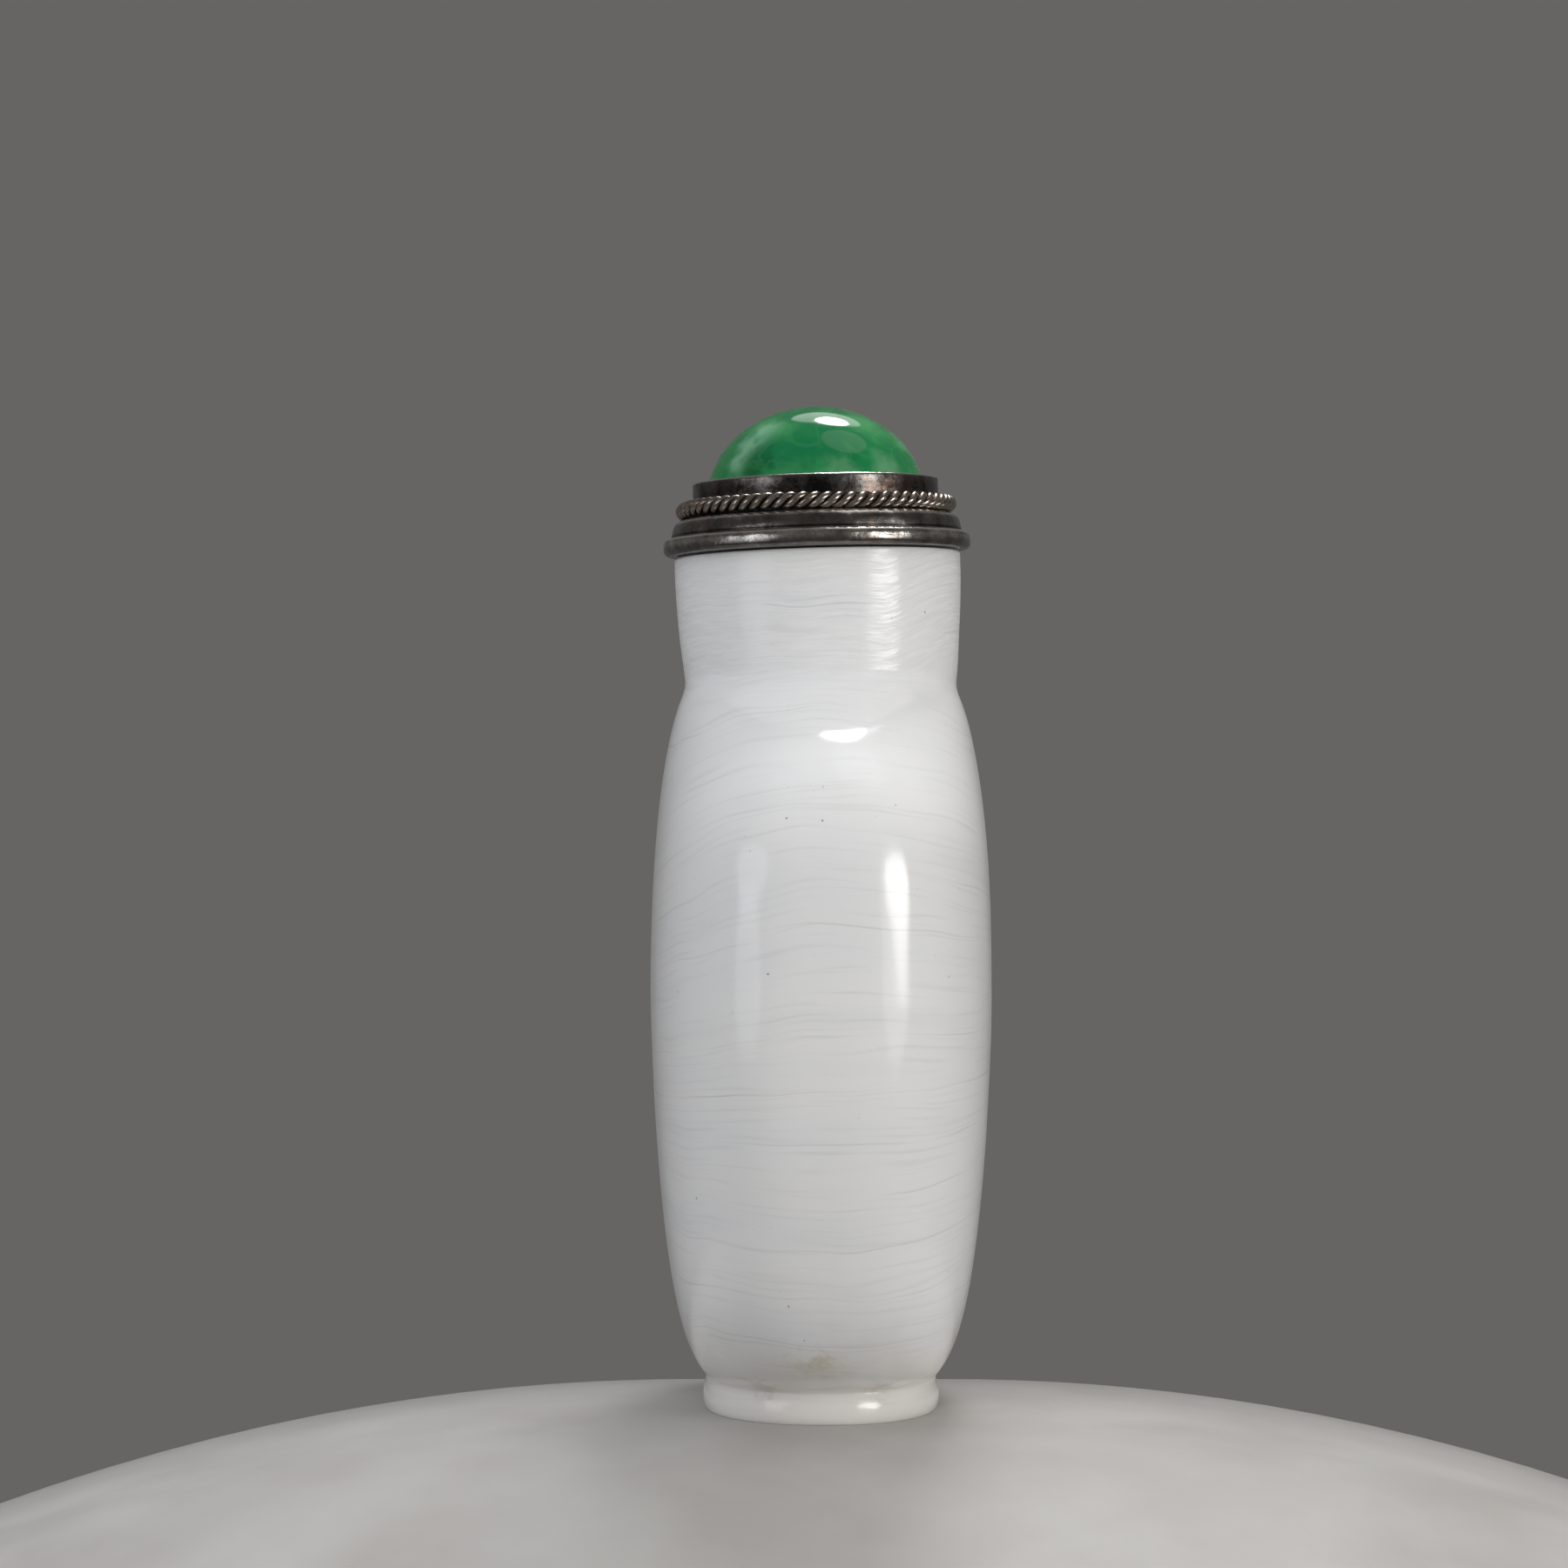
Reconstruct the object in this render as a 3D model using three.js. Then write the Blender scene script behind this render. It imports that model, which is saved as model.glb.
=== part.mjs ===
import * as THREE from 'three';
import { ParametricGeometry } from 'three/addons/geometries/ParametricGeometry.js';

// A flattened snuff bottle of opaque white glass, with a round neck, a low oval foot and a stopper.
// The stopper is a silver mount with a twisted wire ring, holding a domed green stone over a cork.
//
// Millimetres, +Z up. X is the bottle's thickness and Y its breadth, and the origin is the middle
// of the foot's underside. The neck and the stopper lean a little towards -X, as blown necks do.

// ---------------------------------------------------------------- driving dimensions

const TURN = 2 * Math.PI;

const bottleHeight = 55.0;
const widestLevel = 27.0;

// An outline is an arc below and an arc above the widest level:
// half width = widest * (1 - (distance from the widest level / reach) ^ power) ^ (1 / root).
const bodyThickness = {
  half: 11.0,
  below: { reach: 26.0, power: 1.54, root: 6.93 },
  above: { reach: 21.8, power: 2.0, root: 7.05 },
};
const bodyBreadth = {
  half: 21.6,
  below: { reach: 26.0, power: 1.9, root: 3.65 },
  above: { reach: 21.8, power: 5.0, root: 1.0 },
};

// The neck flares gently up to the lip. It meets the narrow way of the body in a crease, and the
// broad shoulders sweep up into it in a hollow.
const lipRadius = 9.28;
const lipRounding = 0.5;
const neck = { flare: 0.55, length: 8.0, top: 54.0, curve: 1.6 };
const neckCrease = 0.35;
const shoulderHollow = 3.4;

// The foot is a low oval cushion with a groove above it and a shallow recess underneath.
const foot = { halfThickness: 6.9, halfBreadth: 10.26, swell: 0.74, widest: 0.85, halfHeight: 1.2 };
const footGroove = 0.3;
const footRim = { width: 1.7, recess: 0.75, slope: 0.4 };

// How blunt the oval sections are: 2 is an ellipse, more is squarer. The levels are where one
// bluntness begins to give way to the next, and where it has done so.
const bluntness = { foot: 2.2, body: 2.6, neck: 2.0, cavity: 2.3 };
const bluntLevels = { footTop: 1.5, body: 9.0, shoulder: 38.0, cavityShoulder: 36.0, bore: 44.0 };

// The hollow: a straight bore through the neck, then a cavity that follows the body.
const boreRadius = 3.6;
const boreEdge = 0.3;
const cavityShoulder = 2.0;
const cavityLevel = 25.0;
const cavityThickness = {
  half: 8.2,
  below: { reach: 20.7, power: 2.4, root: 2.4 },
  above: { reach: 19.0, power: 2.4, root: 2.4 },
};
const cavityBreadth = { ...cavityThickness, half: 18.6 };

// The lean of the neck and the stopper, which turn about the foot of the neck: it grows from the
// pivot level up to the settled level.
const lean = THREE.MathUtils.degToRad(1.6);
const leanPivot = 46.8;
const leanSettled = 50.0;

// Stopper heights are counted from the mount's underside. Pieces that seat in one another keep
// the seat gap, and the wire keeps the solder gap to the cup and the moulding that it lies on.
const seatGap = 0.3;
const solderGap = 0.08;
const mount = {
  rimRadius: 9.99,
  rimHeight: 1.15,
  mouldingFoot: 9.45,
  mouldingTop: 8.5,
  mouldingHeight: 2.33,
};
const bezel = { radius: 7.98, wall: 0.55, top: 4.7, lip: 0.2 };
const stone = { radius: 7.13, base: 3.45, dome: 6.11, chamfer: 0.25 };
const wire = { strand: 0.27, twists: 34, waist: 0.16 };
const cork = { radius: 3.3, length: 6.0, chamfer: 0.4 };

// How finely the surfaces are faceted.
const facets = { bottle: 40, body: 24, cavity: 14, mount: 40, stone: 36, cork: 24, strands: 8, twist: 6 };

// ---------------------------------------------------------------- outline functions

// The larger of two lengths, rounded over where they are within the blend of each other.
function smoothMax(first, second, blend) {
  const overlap = Math.max(blend - Math.abs(first - second), 0) / blend;
  return Math.max(first, second) + (blend / 4) * overlap * overlap;
}

function arcHalfWidth(outline, height, level) {
  const arc = height <= level ? outline.below : outline.above;
  const share = Math.min(Math.abs(height - level) / arc.reach, 1);
  return outline.half * (1 - share ** arc.power) ** (1 / arc.root);
}

function neckRadius(height) {
  const drop = Math.max(neck.top - height, 0) / neck.length;
  return lipRadius - neck.flare * drop ** neck.curve;
}

function footHalfWidth(half, height) {
  const share = Math.abs(height - foot.widest) / foot.halfHeight;
  return share < 1 ? half + foot.swell * Math.sqrt(1 - share * share) : 0;
}

// The foot's cushion and the body's arc above it, with the groove between them.
function footedHalfWidth(footHalf, outline, height) {
  const body = arcHalfWidth(outline, height, widestLevel);
  return smoothMax(footHalfWidth(footHalf, height), body, footGroove);
}

// The outside's oval at a height: its two half widths and how blunt it is.
function outsideSection(height) {
  const thickness = footedHalfWidth(foot.halfThickness, bodyThickness, height);
  const breadth = footedHalfWidth(foot.halfBreadth, bodyBreadth, height);
  const rising = THREE.MathUtils.smoothstep(height, bluntLevels.footTop, bluntLevels.body);
  const leaving = THREE.MathUtils.smoothstep(height, bluntLevels.shoulder, leanPivot);
  const blunt = THREE.MathUtils.lerp(bluntness.foot, bluntness.body, rising);
  return {
    height,
    halfThickness: smoothMax(thickness, neckRadius(height), neckCrease),
    halfBreadth: smoothMax(breadth, neckRadius(height), shoulderHollow),
    blunt: THREE.MathUtils.lerp(blunt, bluntness.neck, leaving),
  };
}

// The hollow's oval at a height: the cavity, narrowing into the bore.
function insideSection(height) {
  const thickness = arcHalfWidth(cavityThickness, height, cavityLevel);
  const breadth = arcHalfWidth(cavityBreadth, height, cavityLevel);
  const leaving = THREE.MathUtils.smoothstep(
    height, bluntLevels.cavityShoulder, bluntLevels.bore);
  return {
    height,
    halfThickness: smoothMax(thickness, boreRadius, cavityShoulder),
    halfBreadth: smoothMax(breadth, boreRadius, cavityShoulder),
    blunt: THREE.MathUtils.lerp(bluntness.cavity, bluntness.neck, leaving),
  };
}

function roundSection(height, radius) {
  return { height, halfThickness: radius, halfBreadth: radius, blunt: 2 };
}

// An oval that is smaller than another by the same margin all round.
function insetSection(section, height, margin) {
  return {
    height,
    halfThickness: section.halfThickness - margin,
    halfBreadth: section.halfBreadth - margin,
    blunt: section.blunt,
  };
}

// Heights from one level to another, closer together near both ends.
function easedLevels(from, to, steps) {
  return Array.from({ length: steps + 1 }, (_, step) => {
    return THREE.MathUtils.lerp(from, to, 0.5 - 0.5 * Math.cos(Math.PI * step / steps));
  });
}

// ---------------------------------------------------------------- the bottle

// The rings of the bottle's skin in order: under the foot, up the outside, over the lip and down
// the hollow to its floor. The first and the last ring are points on the axis.
function bottleSections() {
  const footBottom = outsideSection(0);
  const footTop = foot.widest + 0.8 * foot.halfHeight;
  const neckFoot = leanPivot + 0.2;
  const cavityFloor = cavityLevel - cavityThickness.below.reach;
  const cavityTop = cavityLevel + cavityThickness.above.reach - 0.2;
  const footLevels = [0, 0.25, foot.widest, 1.45];
  const outsideLevels = easedLevels(footTop, neckFoot, facets.body);
  const neckLevels = [48.0, leanSettled, 52.0];
  const boreLevels = [leanSettled, leanPivot];
  const cavityLevels = easedLevels(cavityTop, cavityFloor, facets.cavity).slice(0, -1);
  return [
    roundSection(footRim.recess, 0),
    insetSection(footBottom, footRim.recess, footRim.width + footRim.slope),
    insetSection(footBottom, 0, footRim.width),
    ...[...footLevels, ...outsideLevels, ...neckLevels].map(outsideSection),
    ...lipSections(),
    ...[...boreLevels, ...cavityLevels].map(insideSection),
    roundSection(cavityFloor, 0),
  ];
}

// The flat lip with both its edges rounded.
function lipSections() {
  const rings = [];
  for (const turn of [0, Math.PI / 4, Math.PI / 2]) {
    const drop = lipRounding * (1 - Math.sin(turn));
    const inset = lipRounding * (1 - Math.cos(turn));
    rings.push(roundSection(bottleHeight - drop, lipRadius - inset));
  }
  rings.push(roundSection(bottleHeight, boreRadius + boreEdge));
  rings.push(roundSection(bottleHeight - boreEdge, boreRadius));
  return rings;
}

// A point of a section, at a share of a turn round it. The ellipse's point is drawn out from the
// axis to the blunt oval |x / a| ^ n + |y / b| ^ n = 1.
function sectionPoint(section, turnShare, target) {
  const angle = turnShare * TURN;
  const along = Math.cos(angle);
  const across = Math.sin(angle);
  const size = Math.abs(along) ** section.blunt + Math.abs(across) ** section.blunt;
  const stretch = size ** (-1 / section.blunt);
  target.set(
    section.halfThickness * along * stretch,
    section.halfBreadth * across * stretch,
    section.height);
}

// Turns what is above the foot of the neck about the Y axis there, by the full lean from the
// level where it has settled.
function leanPoint(point) {
  const settled = THREE.MathUtils.smoothstep(point.z, leanPivot, leanSettled);
  const pivot = new THREE.Vector3(0, 0, leanPivot);
  point.sub(pivot).applyAxisAngle(new THREE.Vector3(0, 1, 0), -lean * settled).add(pivot);
}

function bottleGeometry() {
  const rings = bottleSections();
  const lastRing = rings.length - 1;
  const skin = (turnShare, ringShare, target) => {
    sectionPoint(rings[Math.round(ringShare * lastRing)], turnShare, target);
    leanPoint(target);
  };
  return new ParametricGeometry(skin, facets.bottle, lastRing);
}

// ---------------------------------------------------------------- the stopper

// A solid of revolution about +Z from [radius, height] pairs that run up the outside.
function turned(outline, segments) {
  const points = outline.map(([radius, height]) => new THREE.Vector2(radius, height));
  return new THREE.LatheGeometry(points, segments).rotateX(Math.PI / 2);
}

// Points on an arc, as [radius, height] pairs, from one angle to another.
function arcPoints(centre, radii, fromDegrees, toDegrees, steps) {
  return Array.from({ length: steps + 1 }, (_, step) => {
    const degrees = THREE.MathUtils.lerp(fromDegrees, toDegrees, step / steps);
    const angle = THREE.MathUtils.degToRad(degrees);
    return [centre[0] + radii[0] * Math.cos(angle), centre[1] + radii[1] * Math.sin(angle)];
  });
}

// The mount: a rolled rim, a moulding that slopes in above it, and the bezel cup.
function mountGeometry() {
  const rimHalf = mount.rimHeight / 2;
  const mouldingRise = mount.mouldingHeight - mount.rimHeight;
  const outerWall = bezel.radius;
  const innerWall = bezel.radius - bezel.wall;
  const outline = [
    [0, 0],
    ...arcPoints([mount.rimRadius - rimHalf, rimHalf], [rimHalf, rimHalf], -90, 60, 5),
    ...arcPoints(
      [mount.mouldingTop, mount.rimHeight],
      [mount.mouldingFoot - mount.mouldingTop, mouldingRise], 0, 90, 4),
    [outerWall, mount.mouldingHeight],
    [outerWall, bezel.top - bezel.lip],
    [outerWall - bezel.lip / 2, bezel.top],
    [innerWall - bezel.lip / 2, bezel.top],
    [innerWall, bezel.top - 2 * bezel.lip],
    [innerWall, stone.base - seatGap],
    [0, stone.base - seatGap],
  ];
  return turned(outline, facets.mount);
}

// Two strands twisted together and bent into a ring. The section is a peanut shape, the outline
// of two touching circles, and it turns as it goes round.
function wireGeometry() {
  const reach = 2 * wire.strand;
  const ringRadius = bezel.radius + solderGap + reach;
  const level = mount.mouldingHeight + solderGap + reach;
  const ring = (sectionShare, ringShare, target) => {
    const bearing = ringShare * TURN;
    const roll = -sectionShare * TURN;
    const width = Math.hypot(reach * Math.cos(roll), wire.waist * Math.sin(roll));
    const facing = roll + bearing * wire.twists;
    const radius = ringRadius + width * Math.cos(facing);
    const height = level + width * Math.sin(facing);
    target.set(radius * Math.cos(bearing), radius * Math.sin(bearing), height);
  };
  return new ParametricGeometry(ring, facets.strands, wire.twists * facets.twist);
}

function stoneGeometry() {
  const outline = [
    [0, stone.base],
    [stone.radius - stone.chamfer, stone.base],
    ...arcPoints([0, stone.base], [stone.radius, stone.dome], 4, 90, 9),
  ];
  outline[outline.length - 1][0] = 0;
  return turned(outline, facets.stone);
}

function corkGeometry() {
  const outline = [
    [0, -seatGap - cork.length],
    [cork.radius - cork.chamfer, -seatGap - cork.length],
    [cork.radius, -seatGap - cork.length + cork.chamfer],
    [cork.radius, -seatGap],
    [0, -seatGap],
  ];
  return turned(outline, facets.cork);
}

// ---------------------------------------------------------------- the assembly

function piece(name, geometry, color, roughness, metalness) {
  const material = new THREE.MeshStandardMaterial({ color, roughness, metalness });
  const mesh = new THREE.Mesh(geometry, material);
  mesh.name = name;
  return mesh;
}

// The stopper's group turns with the neck, and its own height is counted from the mount's
// underside, a seat gap above the lip.
const stopper = new THREE.Group();
stopper.add(piece('cork', corkGeometry(), 0xa9825a, 0.9, 0));
stopper.add(piece('stopper_mount', mountGeometry(), 0x5b544e, 0.35, 1));
stopper.add(piece('twisted_wire', wireGeometry(), 0x6a615a, 0.35, 1));
stopper.add(piece('cabochon', stoneGeometry(), 0x3f9a58, 0.25, 0));
for (const mesh of stopper.children) {
  mesh.position.z = bottleHeight + seatGap - leanPivot;
}
stopper.position.z = leanPivot;
stopper.rotation.y = -lean;

const snuffBottle = new THREE.Group();
snuffBottle.add(piece('bottle', bottleGeometry(), 0xd2d3d3, 0.3, 0));
snuffBottle.add(stopper);

export default snuffBottle;
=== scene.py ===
"""Looks of a flattened snuff bottle: opaque white glass, and a silver-mounted stopper with a green stone.

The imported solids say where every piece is. Each of them is replaced here by a fine surface of the
same form, worked out as a function of two parameters, with the unevenness of handwork and a finish.

Axes: +Z up, X through the bottle's thickness, Y across its breadth, origin under the middle of the
foot. The forms are worked out in millimetres and put into the meshes in metres.
"""

import logging
import math
from collections.abc import Sequence
from dataclasses import dataclass, field
from enum import Enum

import bpy
import numpy as np
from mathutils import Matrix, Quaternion, Vector


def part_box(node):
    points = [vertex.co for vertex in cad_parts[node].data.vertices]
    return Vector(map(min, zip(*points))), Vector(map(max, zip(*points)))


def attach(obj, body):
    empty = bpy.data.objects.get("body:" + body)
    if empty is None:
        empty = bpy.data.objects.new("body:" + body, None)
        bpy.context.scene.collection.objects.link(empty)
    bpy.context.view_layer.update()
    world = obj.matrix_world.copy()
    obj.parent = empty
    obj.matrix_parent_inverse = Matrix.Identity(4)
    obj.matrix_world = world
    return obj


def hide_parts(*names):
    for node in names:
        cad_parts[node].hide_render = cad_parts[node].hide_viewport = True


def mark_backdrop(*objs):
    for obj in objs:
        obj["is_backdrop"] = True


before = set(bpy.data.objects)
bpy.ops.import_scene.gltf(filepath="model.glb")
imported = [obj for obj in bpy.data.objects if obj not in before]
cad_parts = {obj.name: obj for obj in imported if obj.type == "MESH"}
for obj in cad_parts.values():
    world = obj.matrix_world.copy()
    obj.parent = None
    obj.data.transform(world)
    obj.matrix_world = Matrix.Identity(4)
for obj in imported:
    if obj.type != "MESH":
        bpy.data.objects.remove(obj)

LOG = logging.getLogger("snuff_bottle")
MM = 0.001
TURN = 2 * math.pi
ROUND = 2.0  # the bluntness of a circle or an ellipse
POLE = 0.4  # mm from the axis to the ring where a turned outline is closed with a fan
PACKED_ROPE_RADIUS = 0.54  # mm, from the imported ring's middle line out to its edge
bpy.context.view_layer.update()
Socket = bpy.types.NodeSocket

# Sockets that share a name go by number. Math and VectorMath have 0, 1 and 2. MapRange has the value
# at 0, the range it comes from at 1 and 2, and the one it goes to at 3 and 4. Mix has its share at 0,
# numbers at 2 and 3, and colours at 6 and 7.
SMOOTH = {"interpolation_type": "SMOOTHSTEP"}  # a MapRange that eases in and out
BLEND = {"out": 2, "data_type": "RGBA"}  # a Mix of colours
QUARTER_TURN = 0.25  # stretches an anisotropic highlight upright


# ---------------------------------------------------------------- numbers and colours


def linear(hex_colour: str) -> tuple[float, float, float, float]:
    """Turns an sRGB colour into the linear one that shaders work in.

    Args:
        hex_colour: The colour as "#RRGGBB".

    Returns:
        Linear red, green, blue and an alpha of 1.
    """
    srgb = [int(hex_colour[i : i + 2], 16) / 255 for i in (1, 3, 5)]
    red, green, blue = (c / 12.92 if c <= 0.04045 else ((c + 0.055) / 1.055) ** 2.4 for c in srgb)
    return red, green, blue, 1.0


def smooth_step(low: float, high: float, value: np.ndarray) -> np.ndarray:
    """Rises from 0 at low to 1 at high as 3 t^2 - 2 t^3, flat at both ends.

    Args:
        low: Where the rise starts.
        high: Where it has ended.
        value: The values to test.

    Returns:
        The share risen at each value.
    """
    share = np.clip((value - low) / (high - low), 0.0, 1.0)
    return share * share * (3 - 2 * share)


def smooth_max(first: np.ndarray, second: np.ndarray | float, blend: float) -> np.ndarray:
    """The larger of two lengths, rounded over where they are within the blend of each other.

    It is the larger one, plus blend / 4 times the square of (1 - their gap / blend).

    Args:
        first: One length at each place.
        second: The other.
        blend: How close they are where the rounding starts.

    Returns:
        The blended length at each place.
    """
    overlap = np.maximum(blend - np.abs(first - second), 0.0) / blend
    return np.maximum(first, second) + blend / 4 * overlap * overlap


def unevenness(points: np.ndarray, wavelength: float, seed: int, waves: int = 9) -> np.ndarray:
    """A smooth wander in space: a sum of cosines of plane waves in random directions.

    Args:
        points: Places in millimetres, in an array whose last axis is x, y, z.
        wavelength: The waves' mean length in millimetres.
        seed: Fixes the directions and phases.
        waves: How many waves there are.

    Returns:
        A value of about -1 to 1 at each place.
    """
    random = np.random.default_rng(seed)
    directions = random.normal(size=(waves, 3))
    directions /= np.linalg.norm(directions, axis=1, keepdims=True)
    pace = TURN / wavelength * random.uniform(0.7, 1.4, size=(waves, 1))
    phases = random.uniform(0, TURN, size=waves)
    return np.cos(points @ (directions * pace).T + phases).sum(axis=-1) / math.sqrt(2 * waves)


def arc_points(
    centre: tuple[float, float], radii: tuple[float, float], start: float, end: float, steps: int
) -> np.ndarray:
    """Points on an elliptical arc: centre + (radius cos, radius sin) of an even run of angles.

    Args:
        centre: The arc's centre, as (distance from the axis, height).
        radii: Its half width and half height.
        start: The first angle in degrees, from straight out.
        end: The last angle in degrees.
        steps: How many steps lie between them.

    Returns:
        (steps + 1, 2) pairs of radius and height.
    """
    angle = np.radians(np.linspace(start, end, steps + 1))
    return np.stack((centre[0] + radii[0] * np.cos(angle), centre[1] + radii[1] * np.sin(angle)), axis=1)


def refined(outline: np.ndarray, spacing: float) -> np.ndarray:
    """Adds evenly spaced points to the long steps of an outline, keeping every point it has.

    Args:
        outline: (n, 2) pairs of radius and height.
        spacing: The longest step that may remain, in millimetres.

    Returns:
        The outline with the added points.
    """
    lengths = np.linalg.norm(np.diff(outline, axis=0), axis=1)
    counts = np.maximum(np.ceil(lengths / spacing).astype(int), 1)
    starts = np.repeat(np.arange(len(counts)), counts)
    share = (np.arange(counts.sum()) - np.repeat(np.cumsum(counts) - counts, counts)) / counts[starts]
    steps = outline[starts] + share[:, None] * (outline[starts + 1] - outline[starts])
    return np.vstack((steps, outline[-1:]))


def turned(outline: np.ndarray, around: int) -> np.ndarray:
    """Carries an outline round the axis: (r cos, r sin, h) at even bearings.

    Args:
        outline: (n, 2) pairs of radius and height, in millimetres.
        around: How many points each ring has.

    Returns:
        (n, around, 3) places.
    """
    bearing = np.linspace(0, TURN, around, endpoint=False)
    radius = outline[:, :1]
    level = np.broadcast_to(outline[:, 1:], (len(outline), around))
    return np.stack((radius * np.cos(bearing), radius * np.sin(bearing), level), axis=-1)


# ---------------------------------------------------------------- meshes and nodes


@dataclass
class SkinMesh:
    """Gathers grids of points into one mesh, with values at its points for the finishes to read."""

    points: list[np.ndarray] = field(default_factory=list)
    faces: list[list[int]] = field(default_factory=list)
    count: int = 0

    def add_rings(self, grid: np.ndarray, endless: bool = False) -> None:
        """Adds a tube of rings that each run anticlockwise, the first ring lowest on the outside.

        Args:
            grid: (rings, points round, 3) places in millimetres, with no place repeated.
            endless: Joins the last ring to the first, instead of closing both ends with fans.
        """
        rings, around, _ = grid.shape
        index = self.count + np.arange(rings * around).reshape(rings, around)
        beside = np.roll(index, -1, axis=1)
        quads = np.stack((index, beside, np.roll(beside, -1, axis=0), np.roll(index, -1, axis=0)), axis=-1)
        self.faces += (quads if endless else quads[:-1]).reshape(-1, 4).tolist()
        self.points.append(grid.reshape(-1, 3))
        self.count += rings * around
        if not endless:
            for ring, near, far in ((0, beside, index), (-1, index, beside)):
                middle = np.full(around, self.count)
                self.faces += np.stack((middle, near[ring], far[ring]), axis=-1).tolist()
                self.points.append(grid[ring].mean(axis=0, keepdims=True))
                self.count += 1

    def places(self) -> np.ndarray:
        """Every point's place so far, in millimetres."""
        return np.vstack(self.points)

    def build(self, name: str, **values: np.ndarray) -> bpy.types.Object:
        """Makes the object at the origin, shaded smooth.

        Args:
            name: The object's name.
            **values: Arrays to store at the points, of numbers or of vectors.

        Returns:
            The object, linked to the scene.
        """
        mesh = bpy.data.meshes.new(name)
        mesh.from_pydata((self.places() * MM).tolist(), [], self.faces)
        mesh.polygons.foreach_set("use_smooth", np.ones(len(mesh.polygons), dtype=bool))
        for key, value in values.items():
            kind, slot = ("FLOAT_VECTOR", "vector") if value.ndim == 2 else ("FLOAT", "value")
            stored = mesh.attributes.new(key, kind, "POINT")
            stored.data.foreach_set(slot, value.astype(np.float32).ravel())
        mesh.update()
        piece = bpy.data.objects.new(name, mesh)
        bpy.context.scene.collection.objects.link(piece)
        return piece


def add(
    tree: bpy.types.NodeTree,
    kind: str,
    inputs: dict | None = None,
    out: int | str = 0,
    stops: Sequence[tuple[float, str]] = (),
    **settings: object,
) -> Socket | None:
    """Adds a shader node with its settings and links: the one way that every node is made.

    Args:
        tree: The node tree.
        kind: The node's type name, after its "ShaderNode".
        inputs: Socket names or numbers, each with a value or with the output that drives it.
        out: The name or number of the output to return.
        stops: A colour ramp's places and sRGB colours.
        **settings: The node's own properties.

    Returns:
        The output, where the node has one.
    """
    node = tree.nodes.new("ShaderNode" + kind)
    for name, value in settings.items():
        setattr(node, name, value)
    for name, value in (inputs or {}).items():
        if isinstance(value, Socket):
            tree.links.new(value, node.inputs[name])
        else:
            node.inputs[name].default_value = linear(value) if isinstance(value, str) else value
    if stops:
        ramp = node.color_ramp
        while len(ramp.elements) < len(stops):
            ramp.elements.new(1.0)
        for element, (place, colour) in zip(ramp.elements, stops):
            element.position = place
            element.color = linear(colour)
    return node.outputs[out] if len(node.outputs) else None


@dataclass(frozen=True)
class Finish:
    """What every finish shares: its name, and coordinates in millimetres for its patterns."""

    name: str

    def material(self) -> bpy.types.Material:
        """Makes the material, whose surface the finish's own method gives."""
        made = bpy.data.materials.new(self.name)
        made.use_nodes = True
        tree = made.node_tree
        tree.nodes.clear()
        place = add(tree, "TexCoord", out="Object")
        mm = add(tree, "Mapping", {"Vector": place, "Scale": (1 / MM,) * 3})
        add(tree, "OutputMaterial", {"Surface": self.surface(tree, mm)})
        return made

    def surface(self, tree: bpy.types.NodeTree, mm: Socket) -> Socket:
        """Adds the finish's nodes, from coordinates in millimetres, and returns its shader."""
        raise NotImplementedError


@dataclass(frozen=True)
class Blot:
    """A stain or a painted reflection: a blotchy round patch of a colour about a place in millimetres."""

    centre: tuple[float, float, float]
    radius: float
    colour: str
    strength: float


def stains_and_painted_reflections(
    tree: bpy.types.NodeTree,
    mm: Socket,
    colour: Socket,
    blots: Sequence[Blot],
    fine: Socket,
    ragged: float,
    faded: float,
) -> Socket:
    """Lays blots over a colour, each by its distance + ragged x radius x noise.

    A blot is full where that is under 1.1 radii, and gone where it is over faded radii.

    Args:
        tree: The node tree.
        mm: Coordinates in millimetres.
        colour: The colour that they lie on.
        blots: The blots, in the order that they are laid.
        fine: The noise that makes their edges ragged.
        ragged: How far the noise moves an edge, in radii.
        faded: Where a blot ends, in radii.

    Returns:
        The stained colour.
    """
    for blot in blots:
        away = add(tree, "VectorMath", {0: mm, 1: blot.centre}, out="Value", operation="DISTANCE")
        edge = add(tree, "Math", {0: fine, 1: ragged * blot.radius, 2: away}, operation="MULTIPLY_ADD")
        reach = {0: edge, 1: 1.1 * blot.radius, 2: faded * blot.radius, 3: blot.strength, 4: 0.0}
        cover = add(tree, "MapRange", reach, **SMOOTH)
        colour = add(tree, "Mix", {0: cover, 6: colour, 7: blot.colour}, **BLEND)
    return colour


# ---------------------------------------------------------------- the bottle


@dataclass(frozen=True)
class Arc:
    """One side of an outline: half width = half (1 - (distance / reach) ^ power) ^ (1 / root)."""

    reach: float
    power: float
    root: float


@dataclass(frozen=True)
class Threads:
    """One family of clearer threads, which the gather's turning has drawn out nearly level."""

    along: float  # mm that a thread keeps its course for
    apart: float  # mm between threads
    width: float  # mm from a thread's middle to where it has faded
    depth: float  # how far it greys the white
    shift: float  # moves the pattern on, so that no two families agree


@dataclass(frozen=True)
class Pits:
    """One kind of burst bubble that holds dirt, scattered with at most one to a cell of space."""

    density: tuple[float, float, float]  # cells to a millimetre along each axis
    size: float  # radius, in cells
    share: float  # how many of the cells have one
    depth: float  # how far its dirt hides the white


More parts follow.
